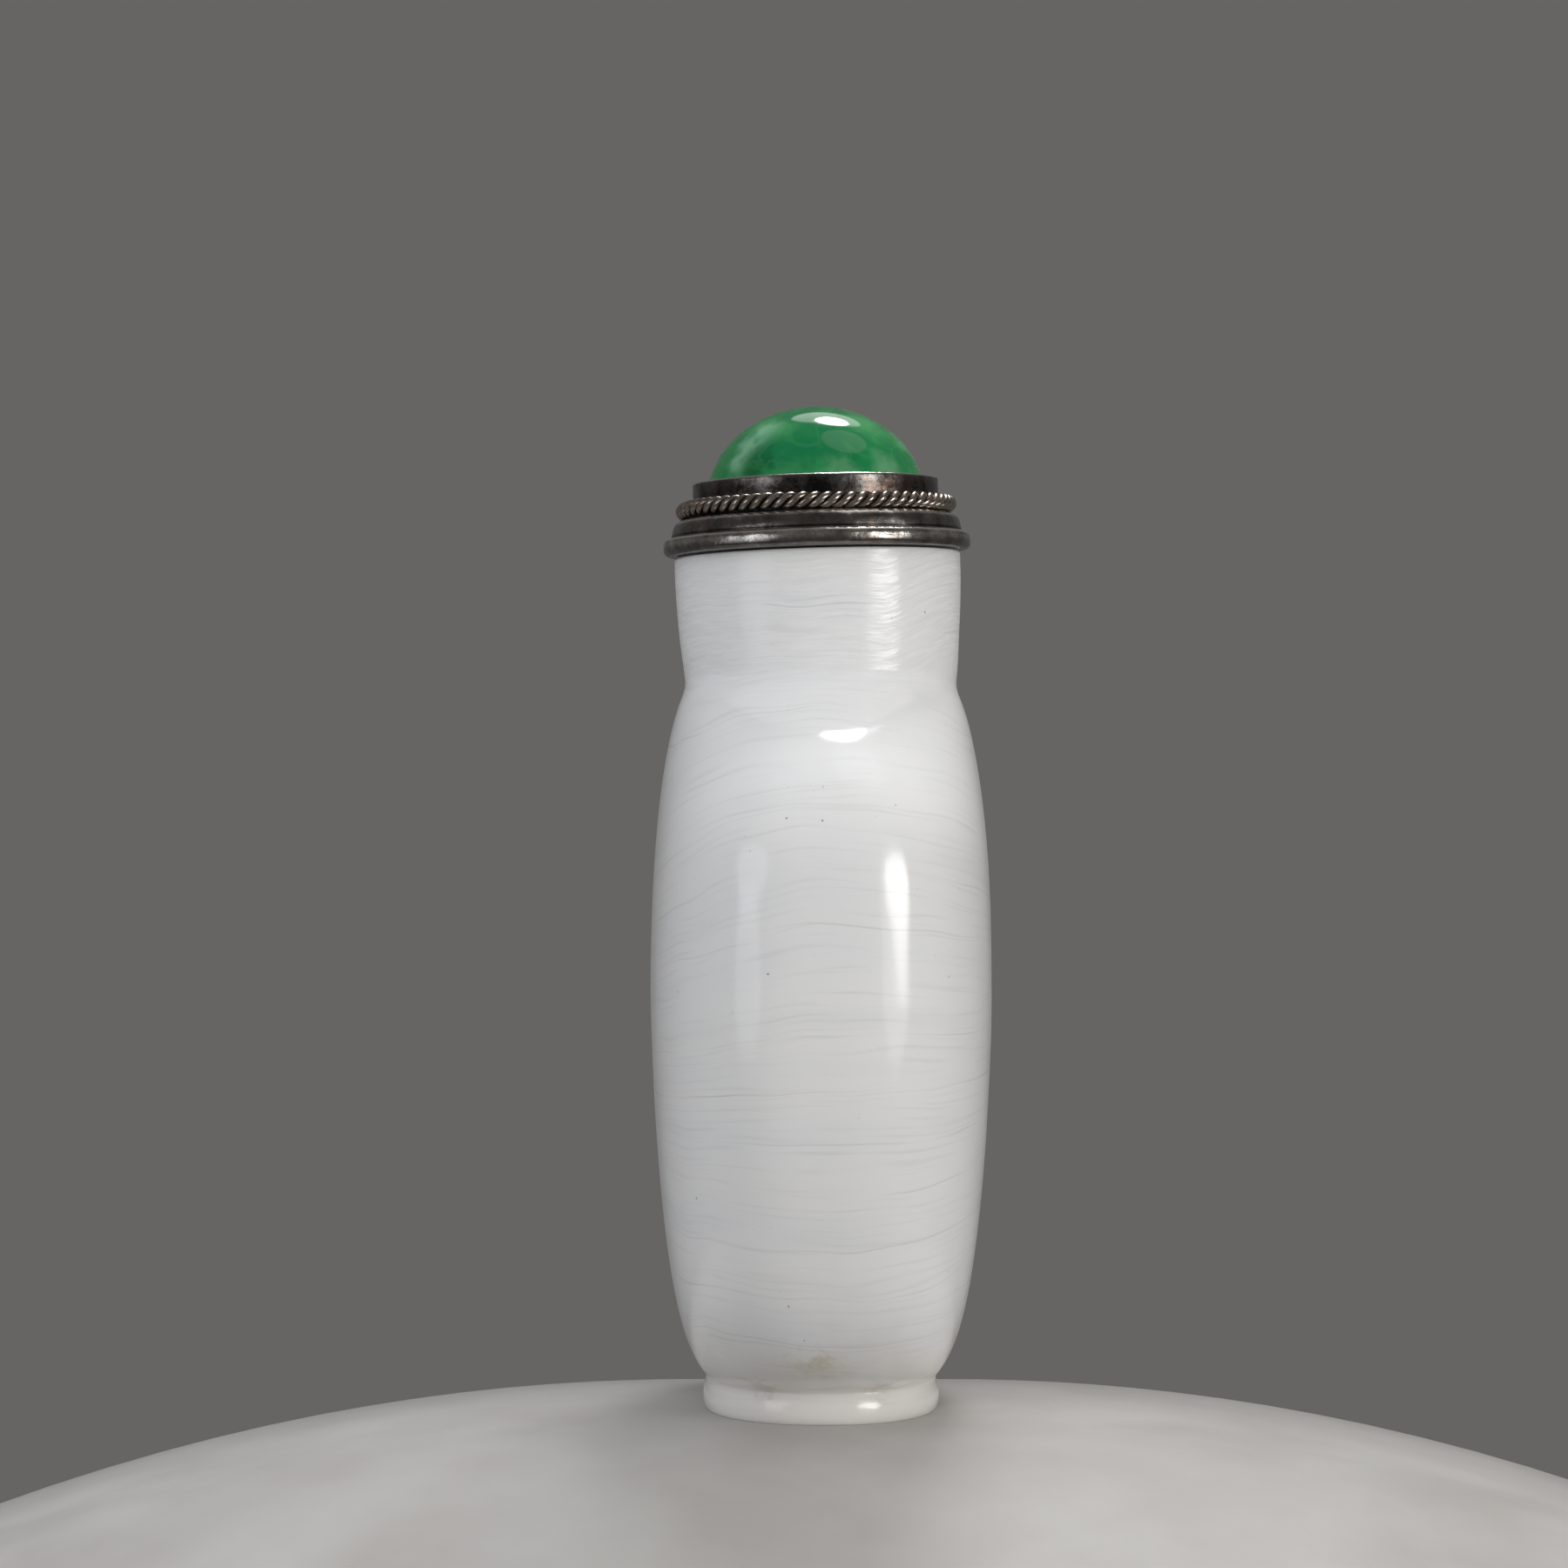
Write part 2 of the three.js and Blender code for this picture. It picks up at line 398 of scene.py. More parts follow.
@dataclass(frozen=True)
class MilkGlass(Finish):
    """Opaque white glass, gathered in layers, blown in a mould and polished on a wheel.

    The layers show as fine grey threads, light goes a millimetre or two into the skin and softens
    every shade, the polish is bright on the body and streaky on the neck, and burst bubbles leave
    pits that hold dirt.
    """

    name: str = "milk_glass_wheel_polished"
    white: str = "#F4F4F3"
    cool: str = "#F0F1F3"
    thread: str = "#A0A3A5"
    warm: str = "#DDD3C3"
    dirt: str = "#4A4036"
    ior: float = 1.5
    neck_foot: tuple[float, float] = (44.5, 48.5)  # levels between which the neck's streaks set in
    threads: tuple[Threads, ...] = (
        Threads(along=22, apart=0.6, width=0.15, depth=0.09, shift=17.3),
        Threads(along=30, apart=1.2, width=0.11, depth=0.12, shift=3.1),
        Threads(along=40, apart=3.3, width=0.09, depth=0.24, shift=41.7),
        Threads(along=30, apart=3.4, width=1.00, depth=0.05, shift=29.9),
    )
    blots: tuple[Blot, ...] = (
        Blot((-0.3, -14.3, 4.4), 1.3, "#C2B389", 0.45),
        Blot((-0.4, -14.0, 3.9), 2.9, "#D5D0BC", 0.45),
        Blot((-3.8, -10.2, 2.4), 1.7, "#A8987C", 0.40),
        Blot((3.9, -10.3, 2.3), 1.5, "#B0A080", 0.38),
    )
    pits: tuple[Pits, ...] = (
        Pits(density=(0.9, 0.9, 0.9), size=0.07, share=0.07, depth=0.8),  # round specks
        Pits(density=(0.5, 0.5, 0.17), size=0.045, share=0.08, depth=0.9),  # short upright ticks
        Pits(density=(1.9, 1.9, 1.9), size=0.075, share=0.14, depth=0.35),  # a dust of tiny ones
    )

    def surface(self, tree: bpy.types.NodeTree, mm: Socket) -> Socket:
        """Adds the glass's nodes.

        Args:
            tree: The node tree.
            mm: Coordinates in millimetres.

        Returns:
            The shader.
        """
        flow = add(tree, "Attribute", out="Vector", attribute_name="flow")
        level = add(tree, "SeparateXYZ", {0: mm}, out="Z")
        colour = self._aged_white(tree, mm, flow, level)
        pitted = self._pitting(tree, mm)
        colour = add(tree, "Mix", {0: pitted, 6: colour, 7: self.dirt}, **BLEND)

        # The wheel left the neck streaky: shallow level scratches. Real ones are hundredths of a
        # millimetre apart, too fine to show, so these are drawn a sixth of a millimetre apart.
        foot, above = self.neck_foot
        neck = add(tree, "MapRange", {0: level, 1: foot, 2: above}, **SMOOTH)
        streaks = add(tree, "VectorMath", {0: flow, 1: (0.45, 0.45, 6.0)}, operation="MULTIPLY")
        streaky = add(tree, "TexNoise", {"Vector": streaks, "Scale": 1.0, "Detail": 3.0, "Roughness": 0.6})
        relief = self._relief(tree, mm, neck, streaky, pitted)

        # The scratches draw each reflection out upright, and break it into short level dashes.
        polish = add(tree, "MapRange", {0: neck, 3: 0.12, 4: 0.22})
        along = add(tree, "MapRange", {0: neck, 3: 0.0, 4: 0.8})
        dashes = add(tree, "MapRange", {0: streaky, 1: 0.36, 2: 0.64, 3: 0.10, 4: 0.80})
        gloss = add(tree, "Mix", {0: neck, 2: 0.5, 3: dashes}, out=0, data_type="FLOAT")
        return add(
            tree,
            "BsdfPrincipled",
            {
                "Base Color": colour,
                "Roughness": polish,
                "IOR": self.ior,
                "Specular IOR Level": gloss,
                "Anisotropic": along,
                "Anisotropic Rotation": QUARTER_TURN,
                "Subsurface Weight": 0.5,
                "Subsurface Radius": (1.0, 1.0, 1.0),
                "Subsurface Scale": 2.0 * MM,
                "Normal": relief,
            },
        )

    def _aged_white(self, tree: bpy.types.NodeTree, mm: Socket, flow: Socket, level: Socket) -> Socket:
        """The white with its layers and threads, and what handling has left on it.

        Args:
            tree: The node tree.
            mm: Coordinates in millimetres.
            flow: The same, with the level in the gather for the height.
            level: The height in millimetres.

        Returns:
            The colour.
        """
        shade = self._thread_shade(tree, flow)

        # The white drifts between cool and neutral in broad soft layers, some 4 mm deep.
        layers = add(tree, "VectorMath", {0: flow, 1: (0.02, 0.02, 0.22)}, operation="MULTIPLY")
        drift = add(tree, "TexNoise", {"Vector": layers, "Scale": 1.0, "Detail": 3.0})
        colour = add(tree, "ValToRGB", {0: drift}, stops=((0.3, self.cool), (0.65, self.white)))
        colour = add(tree, "Mix", {0: shade, 6: colour, 7: self.thread}, **BLEND)

        # Handling has warmed the lowest centimetre, unevenly, and left stains at the foot.
        patches = add(tree, "TexNoise", {"Vector": mm, "Scale": 0.35, "Detail": 4.0})
        height = add(tree, "Math", {0: patches, 1: -7.0, 2: level}, operation="MULTIPLY_ADD")
        ageing = add(tree, "MapRange", {0: height, 1: -3.0, 2: 5.0, 3: 0.35, 4: 0.0}, **SMOOTH)
        colour = add(tree, "Mix", {0: ageing, 6: colour, 7: self.warm}, **BLEND)
        fine = add(tree, "TexNoise", {"Vector": mm, "Scale": 1.6, "Detail": 5.0, "Roughness": 0.65})
        return stains_and_painted_reflections(tree, mm, colour, self.blots, fine, ragged=2.4, faded=2.1)

    def _thread_shade(self, tree: bpy.types.NodeTree, flow: Socket) -> Socket:
        """How far the threads grey the white.

        A thread lies where (level + wander) / spacing is a whole number. The wander is noise of up
        to 2.4 mm that changes slowly along the thread, and a second noise, which changes 3.5 times
        as fast, fades each thread in and out.

        Args:
            tree: The node tree.
            flow: Coordinates in millimetres, with the level in the gather for the height.

        Returns:
            The sum of every family's shade.
        """
        level = add(tree, "SeparateXYZ", {0: flow}, out="Z")
        shade = None
        for family in self.threads:
            shift = (family.shift,) * 3
            course = (1 / family.along, 1 / family.along, 0.3 / family.apart)
            drawn = add(tree, "VectorMath", {0: flow, 1: course, 2: shift}, operation="MULTIPLY_ADD")
            wander = add(tree, "TexNoise", {"Vector": drawn, "Scale": 1.0, "Detail": 2.0, "Roughness": 0.5})
            wander = add(tree, "Math", {0: wander, 1: 2.4 / family.apart}, operation="MULTIPLY")
            phase = add(tree, "Math", {0: level, 1: 1 / family.apart, 2: wander}, operation="MULTIPLY_ADD")
            off = add(tree, "Math", {0: phase, 1: 0.5}, operation="PINGPONG")
            sharp = {0: off, 1: 0.0, 2: family.width / family.apart, 3: family.depth, 4: 0.0}
            line = add(tree, "MapRange", sharp, **SMOOTH)
            stretch = (3.5 / family.along, 3.5 / family.along, 0.7 / family.apart)
            patch = add(tree, "VectorMath", {0: flow, 1: stretch, 2: shift}, operation="MULTIPLY_ADD")
            patch = add(tree, "TexNoise", {"Vector": patch, "Scale": 1.0, "Detail": 1.0})
            shown = add(tree, "MapRange", {0: patch, 1: 0.42, 2: 0.68}, **SMOOTH)
            line = add(tree, "Math", {0: line, 1: shown}, operation="MULTIPLY")
            shade = line if shade is None else add(tree, "Math", {0: shade, 1: line}, operation="ADD")
        return shade

    def _pitting(self, tree: bpy.types.NodeTree, mm: Socket) -> Socket:
        """How far dirt in the pits hides the white.

        Space is cut into cells, a few of them are drawn by lot, and a pit lies in the middle of each.

        Args:
            tree: The node tree.
            mm: Coordinates in millimetres.

        Returns:
            The larger of the kinds' cover.
        """
        total = None
        for pit in self.pits:
            cells = add(tree, "VectorMath", {0: mm, 1: pit.density}, operation="MULTIPLY")
            near = add(tree, "TexVoronoi", {"Vector": cells, "Scale": 1.0}, out="Distance")
            lot = add(tree, "TexVoronoi", {"Vector": cells, "Scale": 1.0}, out="Color")
            lot = add(tree, "SeparateColor", {0: lot})
            chosen = add(tree, "Math", {0: lot, 1: 1 - pit.share}, operation="GREATER_THAN")
            speck = add(tree, "MapRange", {0: near, 1: pit.size / 2, 2: pit.size, 3: pit.depth, 4: 0.0})
            speck = add(tree, "Math", {0: speck, 1: chosen}, operation="MULTIPLY")
            total = speck if total is None else add(tree, "Math", {0: total, 1: speck}, operation="MAXIMUM")
        return total

    def _relief(
        self, tree: bpy.types.NodeTree, mm: Socket, neck: Socket, streaky: Socket, pitted: Socket
    ) -> Socket:
        """The skin's relief: the wheel's scratches, faint on the body, a slight ripple, and the pits.

        Args:
            tree: The node tree.
            mm: Coordinates in millimetres.
            neck: 1 on the neck and 0 below it.
            streaky: The scratches' noise.
            pitted: Where the pits are.

        Returns:
            The surface's normal.
        """
        depth = add(tree, "MapRange", {0: neck, 3: 0.12, 4: 1.0})
        scratches = add(tree, "Math", {0: streaky, 1: depth}, operation="MULTIPLY")
        relief = add(tree, "Bump", {"Height": scratches, "Distance": 0.022 * MM, "Strength": 1.0})
        ripple = add(tree, "TexNoise", {"Vector": mm, "Scale": 3.2, "Detail": 2.0})
        shallow = {"Height": ripple, "Distance": 0.005 * MM, "Strength": 1.0, "Normal": relief}
        relief = add(tree, "Bump", shallow)
        sunk = add(tree, "Math", {0: 1.0, 1: pitted}, operation="SUBTRACT")
        return add(tree, "Bump", {"Height": sunk, "Distance": 0.03 * MM, "Strength": 0.7, "Normal": relief})


@dataclass
class GlassBottle:
    """The bottle: a flattened body on a low oval foot, a round neck, and the hollow inside.

    Every level has an oval |x / a| ^ n + |y / b| ^ n = 1. The half widths a and b and the bluntness
    n are functions of the height, and what is above the foot of the neck leans a little.
    """

    half_thickness: float
    half_breadth: float
    height: float = 55.18
    widest_level: float = 27.0
    lower_thickness: Arc = Arc(26.0, 1.54, 6.93)
    upper_thickness: Arc = Arc(21.8, 2.0, 7.05)
    lower_breadth: Arc = Arc(26.0, 1.9, 3.65)
    upper_breadth: Arc = Arc(21.8, 5.0, 1.0)
    foot_blunt: float = 2.2
    body_blunter: float = 0.4
    foot_to_body: tuple[float, float] = (1.5, 9.0)  # levels between which the ovals grow blunter
    body_to_neck: tuple[float, float] = (36.0, 44.5)  # and those between which they become round
    shoulder_hollow: float = 3.4
    lip_radius: float = 9.28
    lip_rounding: float = 0.2
    neck_flare: float = 0.55
    neck_straight: float = 1.0
    neck_length: float = 8.0
    neck_curve: float = 1.6
    neck_crease: float = 0.35
    foot_half: tuple[float, float] = (6.9, 10.26)
    foot_swell: float = 0.74
    foot_widest: float = 0.85
    foot_half_height: float = 1.4
    foot_groove: float = 0.55
    foot_rim: tuple[float, float] = (1.7, 2.1)  # how far in the recess starts, and has its full depth
    foot_recess: float = 0.75
    mouth: tuple[tuple[float, float], ...] = (
        (6.2, 0.0),
        (4.4, 0.0),
        (3.9, 0.0),
        (3.69, -0.09),
        (3.6, -0.3),
        (3.6, -5.0),
    )  # radius and height from the lip's top: flat, rounded over, and down the bore
    bore_radius: float = 3.6
    cavity_half: tuple[float, float] = (8.2, 18.6)
    cavity_level: float = 25.0
    cavity_below: Arc = Arc(20.7, 2.4, 2.4)
    cavity_above: Arc = Arc(19.0, 2.4, 2.4)
    cavity_shoulder: float = 2.0
    cavity_blunt: float = 2.3
    bore_rounder: float = 0.3
    cavity_to_bore: tuple[float, float] = (36.0, 44.0)
    lean: float = math.radians(1.6)
    lean_pivot: float = 46.8
    lean_settled: float = 50.0
    thread_levels: tuple[float, ...] = (0.0, 8.0, 15.0, 20.0, 26.0, 33.0, 44.0, 48.0, 55.0)
    thread_dip_left: tuple[float, ...] = (-1.5, -1.2, -1.0, 1.2, 3.0, 4.2, 3.0, 0.5, -0.4)
    thread_dip_right: tuple[float, ...] = (-2.5, -2.0, -1.8, -0.2, 0.6, 2.4, 2.0, -0.6, -1.0)
    ring_steps: tuple[tuple[float, float, float], ...] = (
        (0.0, 3.2, 0.1),
        (3.2, 43.6, 0.24),
        (43.6, 50.0, 0.13),
        (50.0, 54.4, 0.2),
    )  # the outside's rings, close together where it curves: from, up to, and step
    around: int = 272
    finish: MilkGlass = MilkGlass()

    def _arc(self, half: float, below: Arc, above: Arc, level: float, height: np.ndarray) -> np.ndarray:
        """Half width at each height, by the formula of Arc.

        Args:
            half: Half the width at the widest level.
            below: The arc under the widest level.
            above: The arc over it.
            level: The widest level.
            height: Levels in millimetres.

        Returns:
            Half the width at each of them.
        """
        under = height <= level
        reach, power, root = (
            np.where(under, getattr(below, key), getattr(above, key)) for key in ("reach", "power", "root")
        )
        share = np.minimum(np.abs(height - level) / reach, 1.0)
        return half * (1 - share**power) ** (1 / root)

    def _neck(self, height: np.ndarray) -> np.ndarray:
        """Neck radius: the lip's, less the flare times (drop under the straight top / length) ^ curve."""
        drop = np.maximum(self.height - self.neck_straight - height, 0.0) / self.neck_length
        return self.lip_radius - self.neck_flare * drop**self.neck_curve

    def _footed(self, half: float, body: np.ndarray, height: np.ndarray) -> np.ndarray:
        """Half width where the foot's round edge, half an ellipse, meets the body in a groove.

        Args:
            half: Half the foot's width, without its round edge.
            body: The body's half width at each height.
            height: Levels in millimetres.

        Returns:
            Half the width of both together.
        """
        share = np.abs(height - self.foot_widest) / self.foot_half_height
        edge = half + self.foot_swell * np.sqrt(np.maximum(1 - share**2, 0.0))
        return smooth_max(np.where(share < 1, edge, 0.0), body, self.foot_groove)

    def outside(self, height: np.ndarray) -> np.ndarray:
        """The outside's ovals.

        Each half width is the smooth larger of the footed arcs and the neck's radius: the narrow
        way meets the neck in a crease, and the broad shoulders sweep into it in a hollow.

        Args:
            height: Levels in millimetres.

        Returns:
            (n, 4) rows of half thickness, half breadth, bluntness and height.
        """
        level = self.widest_level
        slim = self._arc(self.half_thickness, self.lower_thickness, self.upper_thickness, level, height)
        broad = self._arc(self.half_breadth, self.lower_breadth, self.upper_breadth, level, height)
        neck = self._neck(height)
        blunt = self.foot_blunt + self.body_blunter * smooth_step(*self.foot_to_body, height)
        blunt += (ROUND - blunt) * smooth_step(*self.body_to_neck, height)
        a = smooth_max(self._footed(self.foot_half[0], slim, height), neck, self.neck_crease)
        b = smooth_max(self._footed(self.foot_half[1], broad, height), neck, self.shoulder_hollow)
        return np.stack((a, b, blunt, height), axis=1)

    def inside(self, height: np.ndarray) -> np.ndarray:
        """The hollow's ovals, where the cavity narrows smoothly into the round bore.

        Args:
            height: Levels in millimetres.

        Returns:
            (n, 4) rows of half thickness, half breadth, bluntness and height.
        """
        arcs = (
            self._arc(half, self.cavity_below, self.cavity_above, self.cavity_level, height)
            for half in self.cavity_half
        )
        a, b = (smooth_max(arc, self.bore_radius, self.cavity_shoulder) for arc in arcs)
        blunt = self.cavity_blunt - self.bore_rounder * smooth_step(*self.cavity_to_bore, height)
        return np.stack((a, b, blunt, height), axis=1)

    def underside(self) -> np.ndarray:
        """The ovals under the foot: out across the recess, down its slope, and halfway over the rim."""
        half = self.outside(np.zeros(1))[0, :2]
        low, deep = self.foot_rim
        across = np.linspace(0.25, 1.0, 4)[:, None] * (half - deep)
        share = np.linspace(0.0, 1.0, 4)[1:, None]
        slope = half - (deep + share * (low - deep))
        halves = np.vstack((across, slope, half - low / 2))
        height = np.vstack((np.full((4, 1), self.foot_recess), self.foot_recess * (1 - share), [[0.0]]))
        return np.hstack((halves, np.full_like(height, self.foot_blunt), height))

    def _round(self, outline: np.ndarray) -> np.ndarray:
        """Circles as ovals, from pairs of radius and height."""
        radius, height = outline.T
        return np.stack((radius, radius, np.full_like(radius, ROUND), height), axis=1)

    def sections(self) -> np.ndarray:
        """The skin's ovals in order: under the foot, up the outside, over the lip, down the hollow."""
        rows = np.concatenate([np.arange(low, high - 1e-6, step) for low, high, step in self.ring_steps])
        edge = self.lip_rounding
        lip = arc_points((self.lip_radius - edge, self.height - edge), (edge, edge), 0, 90, 7)
        mouth = np.array(self.mouth) + (0.0, self.height)
        hollow = np.concatenate(([48.0, 46.0], np.linspace(43.8, 25.0, 22), np.linspace(24.0, 4.42, 20)))
        over_lip = self._round(np.vstack((lip, mouth)))
        return np.vstack((self.underside(), self.outside(rows), over_lip, self.inside(hollow)))

    def leaned(self, points: np.ndarray) -> np.ndarray:
        """Turns what is above the foot of the neck about the Y axis there, easing into the lean.

        Args:
            points: Places in millimetres, in an array whose last axis is x, y, z.

        Returns:
            The turned places.
        """
        angle = -self.lean * smooth_step(self.lean_pivot, self.lean_settled, points[..., 2])
        x, y, rise = points[..., 0], points[..., 1], points[..., 2] - self.lean_pivot
        across = x * np.cos(angle) + rise * np.sin(angle)
        return np.stack((across, y, self.lean_pivot - x * np.sin(angle) + rise * np.cos(angle)), axis=-1)

    def skin(self) -> np.ndarray:
        """The whole skin as rings of points.

        The ellipse's point (a cos, b sin) is drawn out to the blunt oval by
        (|cos| ^ n + |sin| ^ n) ^ (-1 / n). The outside and the mouth then wander by hundredths of a
        millimetre, and the underside and the hollow keep still.
        """
        a, b, blunt, height = (column[:, None] for column in self.sections().T)
        angle = np.linspace(0, TURN, self.around, endpoint=False)
        cos, sin = np.cos(angle), np.sin(angle)
        stretch = (np.abs(cos) ** blunt + np.abs(sin) ** blunt) ** (-1 / blunt)
        x, y = a * cos * stretch, b * sin * stretch
        points = np.stack((x, y, np.broadcast_to(height, x.shape)), axis=-1)
        still = len(self.underside())
        lip_top = np.argmax(height[:, 0] >= self.height)
        outward = np.zeros(len(points))
        outward[still : still + lip_top] = 1.0
        upright = (1.0, 1.0, 0.6)  # draws the slow wander out along the height
        wander = 0.035 * unevenness(points * upright, wavelength=15.0, seed=5)
        wander += 0.010 * unevenness(points, wavelength=5.0, seed=8)
        wander *= outward[:, None] * smooth_step(0.1, 1.5, points[..., 2])
        reach = np.hypot(x, y)
        points[..., :2] *= (1 + wander / np.maximum(reach, 1.0))[..., None]
        return self.leaned(points)

    def flow(self, points: np.ndarray) -> np.ndarray:
        """The level that each place had in the gather, before blowing bent the threads.

        To the height is added, on each side of the middle, a dip that grows as a power of the
        distance from it: the threads dive at the edges of the shoulder and rise at those of the
        foot. On the neck they climb to the right, and a kink runs down the front at the lower left.

        Args:
            points: (n, 3) places in millimetres.

        Returns:
            (n, 3) x, y and the gather's level.
        """
        x, y, z = points.T
        share = np.clip(x / self.half_thickness, -1.0, 1.0)
        left = np.interp(z, self.thread_levels, self.thread_dip_left)
        right = np.interp(z, self.thread_levels, self.thread_dip_right)
        bend = left * np.maximum(-share, 0) ** 2.2 + right * np.maximum(share, 0) ** 3.0
        on_neck = smooth_step(46.0, 49.0, z)
        bend -= on_neck * (0.05 * x + 0.28 * np.maximum(x - 4.0, 0.0))
        kink = np.exp(-(((x + 8.4) / 0.9) ** 2)) * smooth_step(21.0, 15.0, z)
        slow = 0.5 * unevenness(points, wavelength=24.0, seed=12)
        quick = 0.12 * unevenness(points, wavelength=6.0, seed=3)
        bend += 0.45 * kink * (y < 0) + slow + quick
        return np.stack((x, y, z + bend), axis=1)

    def build(self) -> bpy.types.Object:
        """Makes the bottle and dresses it."""
        skin = SkinMesh()
        skin.add_rings(self.skin())
        piece = skin.build("glass_bottle", flow=self.flow(skin.places()))
        return dressed(piece, self.finish, "bottle")


# ---------------------------------------------------------------- the stopper


@dataclass(frozen=True)
class Seat:
    """Where the stopper stands: the middle of the mount's underside, and its lean."""

    x: float
    z: float
    lean: float

    @classmethod
    def of_mount(cls, lean: float, rim_half: float, rim_middle: float) -> "Seat":
        """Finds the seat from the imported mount's box, whose lowest point is under the rim's edge.

        Args:
            lean: The stopper's lean in radians, towards -X.
            rim_half: Half the rim's height, in millimetres.
            rim_middle: The radius that the rolled rim is centred on, where it touches down.

        Returns:
            The seat, in millimetres.
        """
        low, high = (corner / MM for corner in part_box("stopper_mount"))
        middle = (low.x + high.x) / 2
        return cls(middle + rim_half * math.sin(lean), low.z + rim_middle * math.sin(lean), lean)

    def placed(self, points: np.ndarray) -> np.ndarray:
        """Stands places that count from the mount's underside in the frame, by a turn about Y and a shift.

        Args:
            points: Places in millimetres, in an array whose last axis is x, y, z.

        Returns:
            The same places in the frame.
        """
        cos, sin = math.cos(self.lean), math.sin(self.lean)
        x, y, z = np.moveaxis(points, -1, 0)
        return np.stack((self.x + x * cos - z * sin, y, self.z + x * sin + z * cos), axis=-1)


@dataclass(frozen=True)
class OldSilver(Finish):
    """Silver, raised and soldered by hand, long handled and never cleaned.

    Sulphide has browned it to near black in the hollows, and rubbing keeps the edges grey and
    bright. Its highlights are broken by dents and by the file's marks. On the mount, two bright
    lines in its colour are painted highlights.
    """

    name: str = "silver_tarnished_handworked"
    bright: str = "#E4E0D9"
    dull: str = "#7A7673"
    black: str = "#2A2725"
    warm: str = "#7F6252"

    def surface(self, tree: bpy.types.NodeTree, mm: Socket) -> Socket:
        """Adds the silver's nodes, which read how worn each point is.

        Args:
            tree: The node tree.
            mm: Coordinates in millimetres.

        Returns:
            The shader.
        """
        # Wear, clouded and grained, runs from black through grey to bright, with brown in patches.
        # On the mount it also holds two painted highlight lines.
        worn = add(tree, "Attribute", out="Fac", attribute_name="worn")
        cloud = add(tree, "TexNoise", {"Vector": mm, "Scale": 0.7, "Detail": 5.0, "Roughness": 0.65})
        grain = add(tree, "TexNoise", {"Vector": mm, "Scale": 6.0, "Detail": 4.0, "Roughness": 0.6})
        lit = add(tree, "Math", {0: cloud, 1: 0.9, 2: worn}, operation="MULTIPLY_ADD")
        lit = add(tree, "Math", {0: grain, 1: 0.35, 2: lit}, operation="MULTIPLY_ADD")
        lit = add(tree, "Math", {0: lit, 1: 0.62}, operation="SUBTRACT")
        stops = ((0.12, self.black), (0.5, self.dull), (0.95, self.bright))
        colour = add(tree, "ValToRGB", {0: lit}, stops=stops)
        rust = add(tree, "TexNoise", {"Vector": mm, "Scale": 0.45, "Detail": 3.0, "Distortion": 0.6})
        brown = add(tree, "MapRange", {0: rust, 1: 0.52, 2: 0.72, 3: 0.0, 4: 0.3}, **SMOOTH)
        colour = add(tree, "Mix", {0: brown, 6: colour, 7: self.warm}, **BLEND)
        matt = add(tree, "MapRange", {0: lit, 1: 0.0, 2: 0.9, 3: 0.33, 4: 0.17})

        # File marks run round the piece, a tenth of a millimetre apart; dents are 1 to 2 mm across.
        marks = add(tree, "VectorMath", {0: mm, 1: (0.8, 0.8, 9.0)}, operation="MULTIPLY")
        marks = add(tree, "TexNoise", {"Vector": marks, "Scale": 1.0, "Detail": 3.0})
        dents = add(tree, "TexNoise", {"Vector": mm, "Scale": 0.8, "Detail": 2.0})
        relief = add(tree, "Bump", {"Height": dents, "Distance": 0.12 * MM, "Strength": 0.6})
        for height, depth, strength in ((marks, 0.008, 0.8), (grain, 0.02, 0.5)):
            cut = {"Height": height, "Distance": depth * MM, "Strength": strength, "Normal": relief}
            relief = add(tree, "Bump", cut)
        metal = {"Base Color": colour, "Metallic": 0.96, "Roughness": matt, "Normal": relief}
        return add(tree, "BsdfPrincipled", metal)


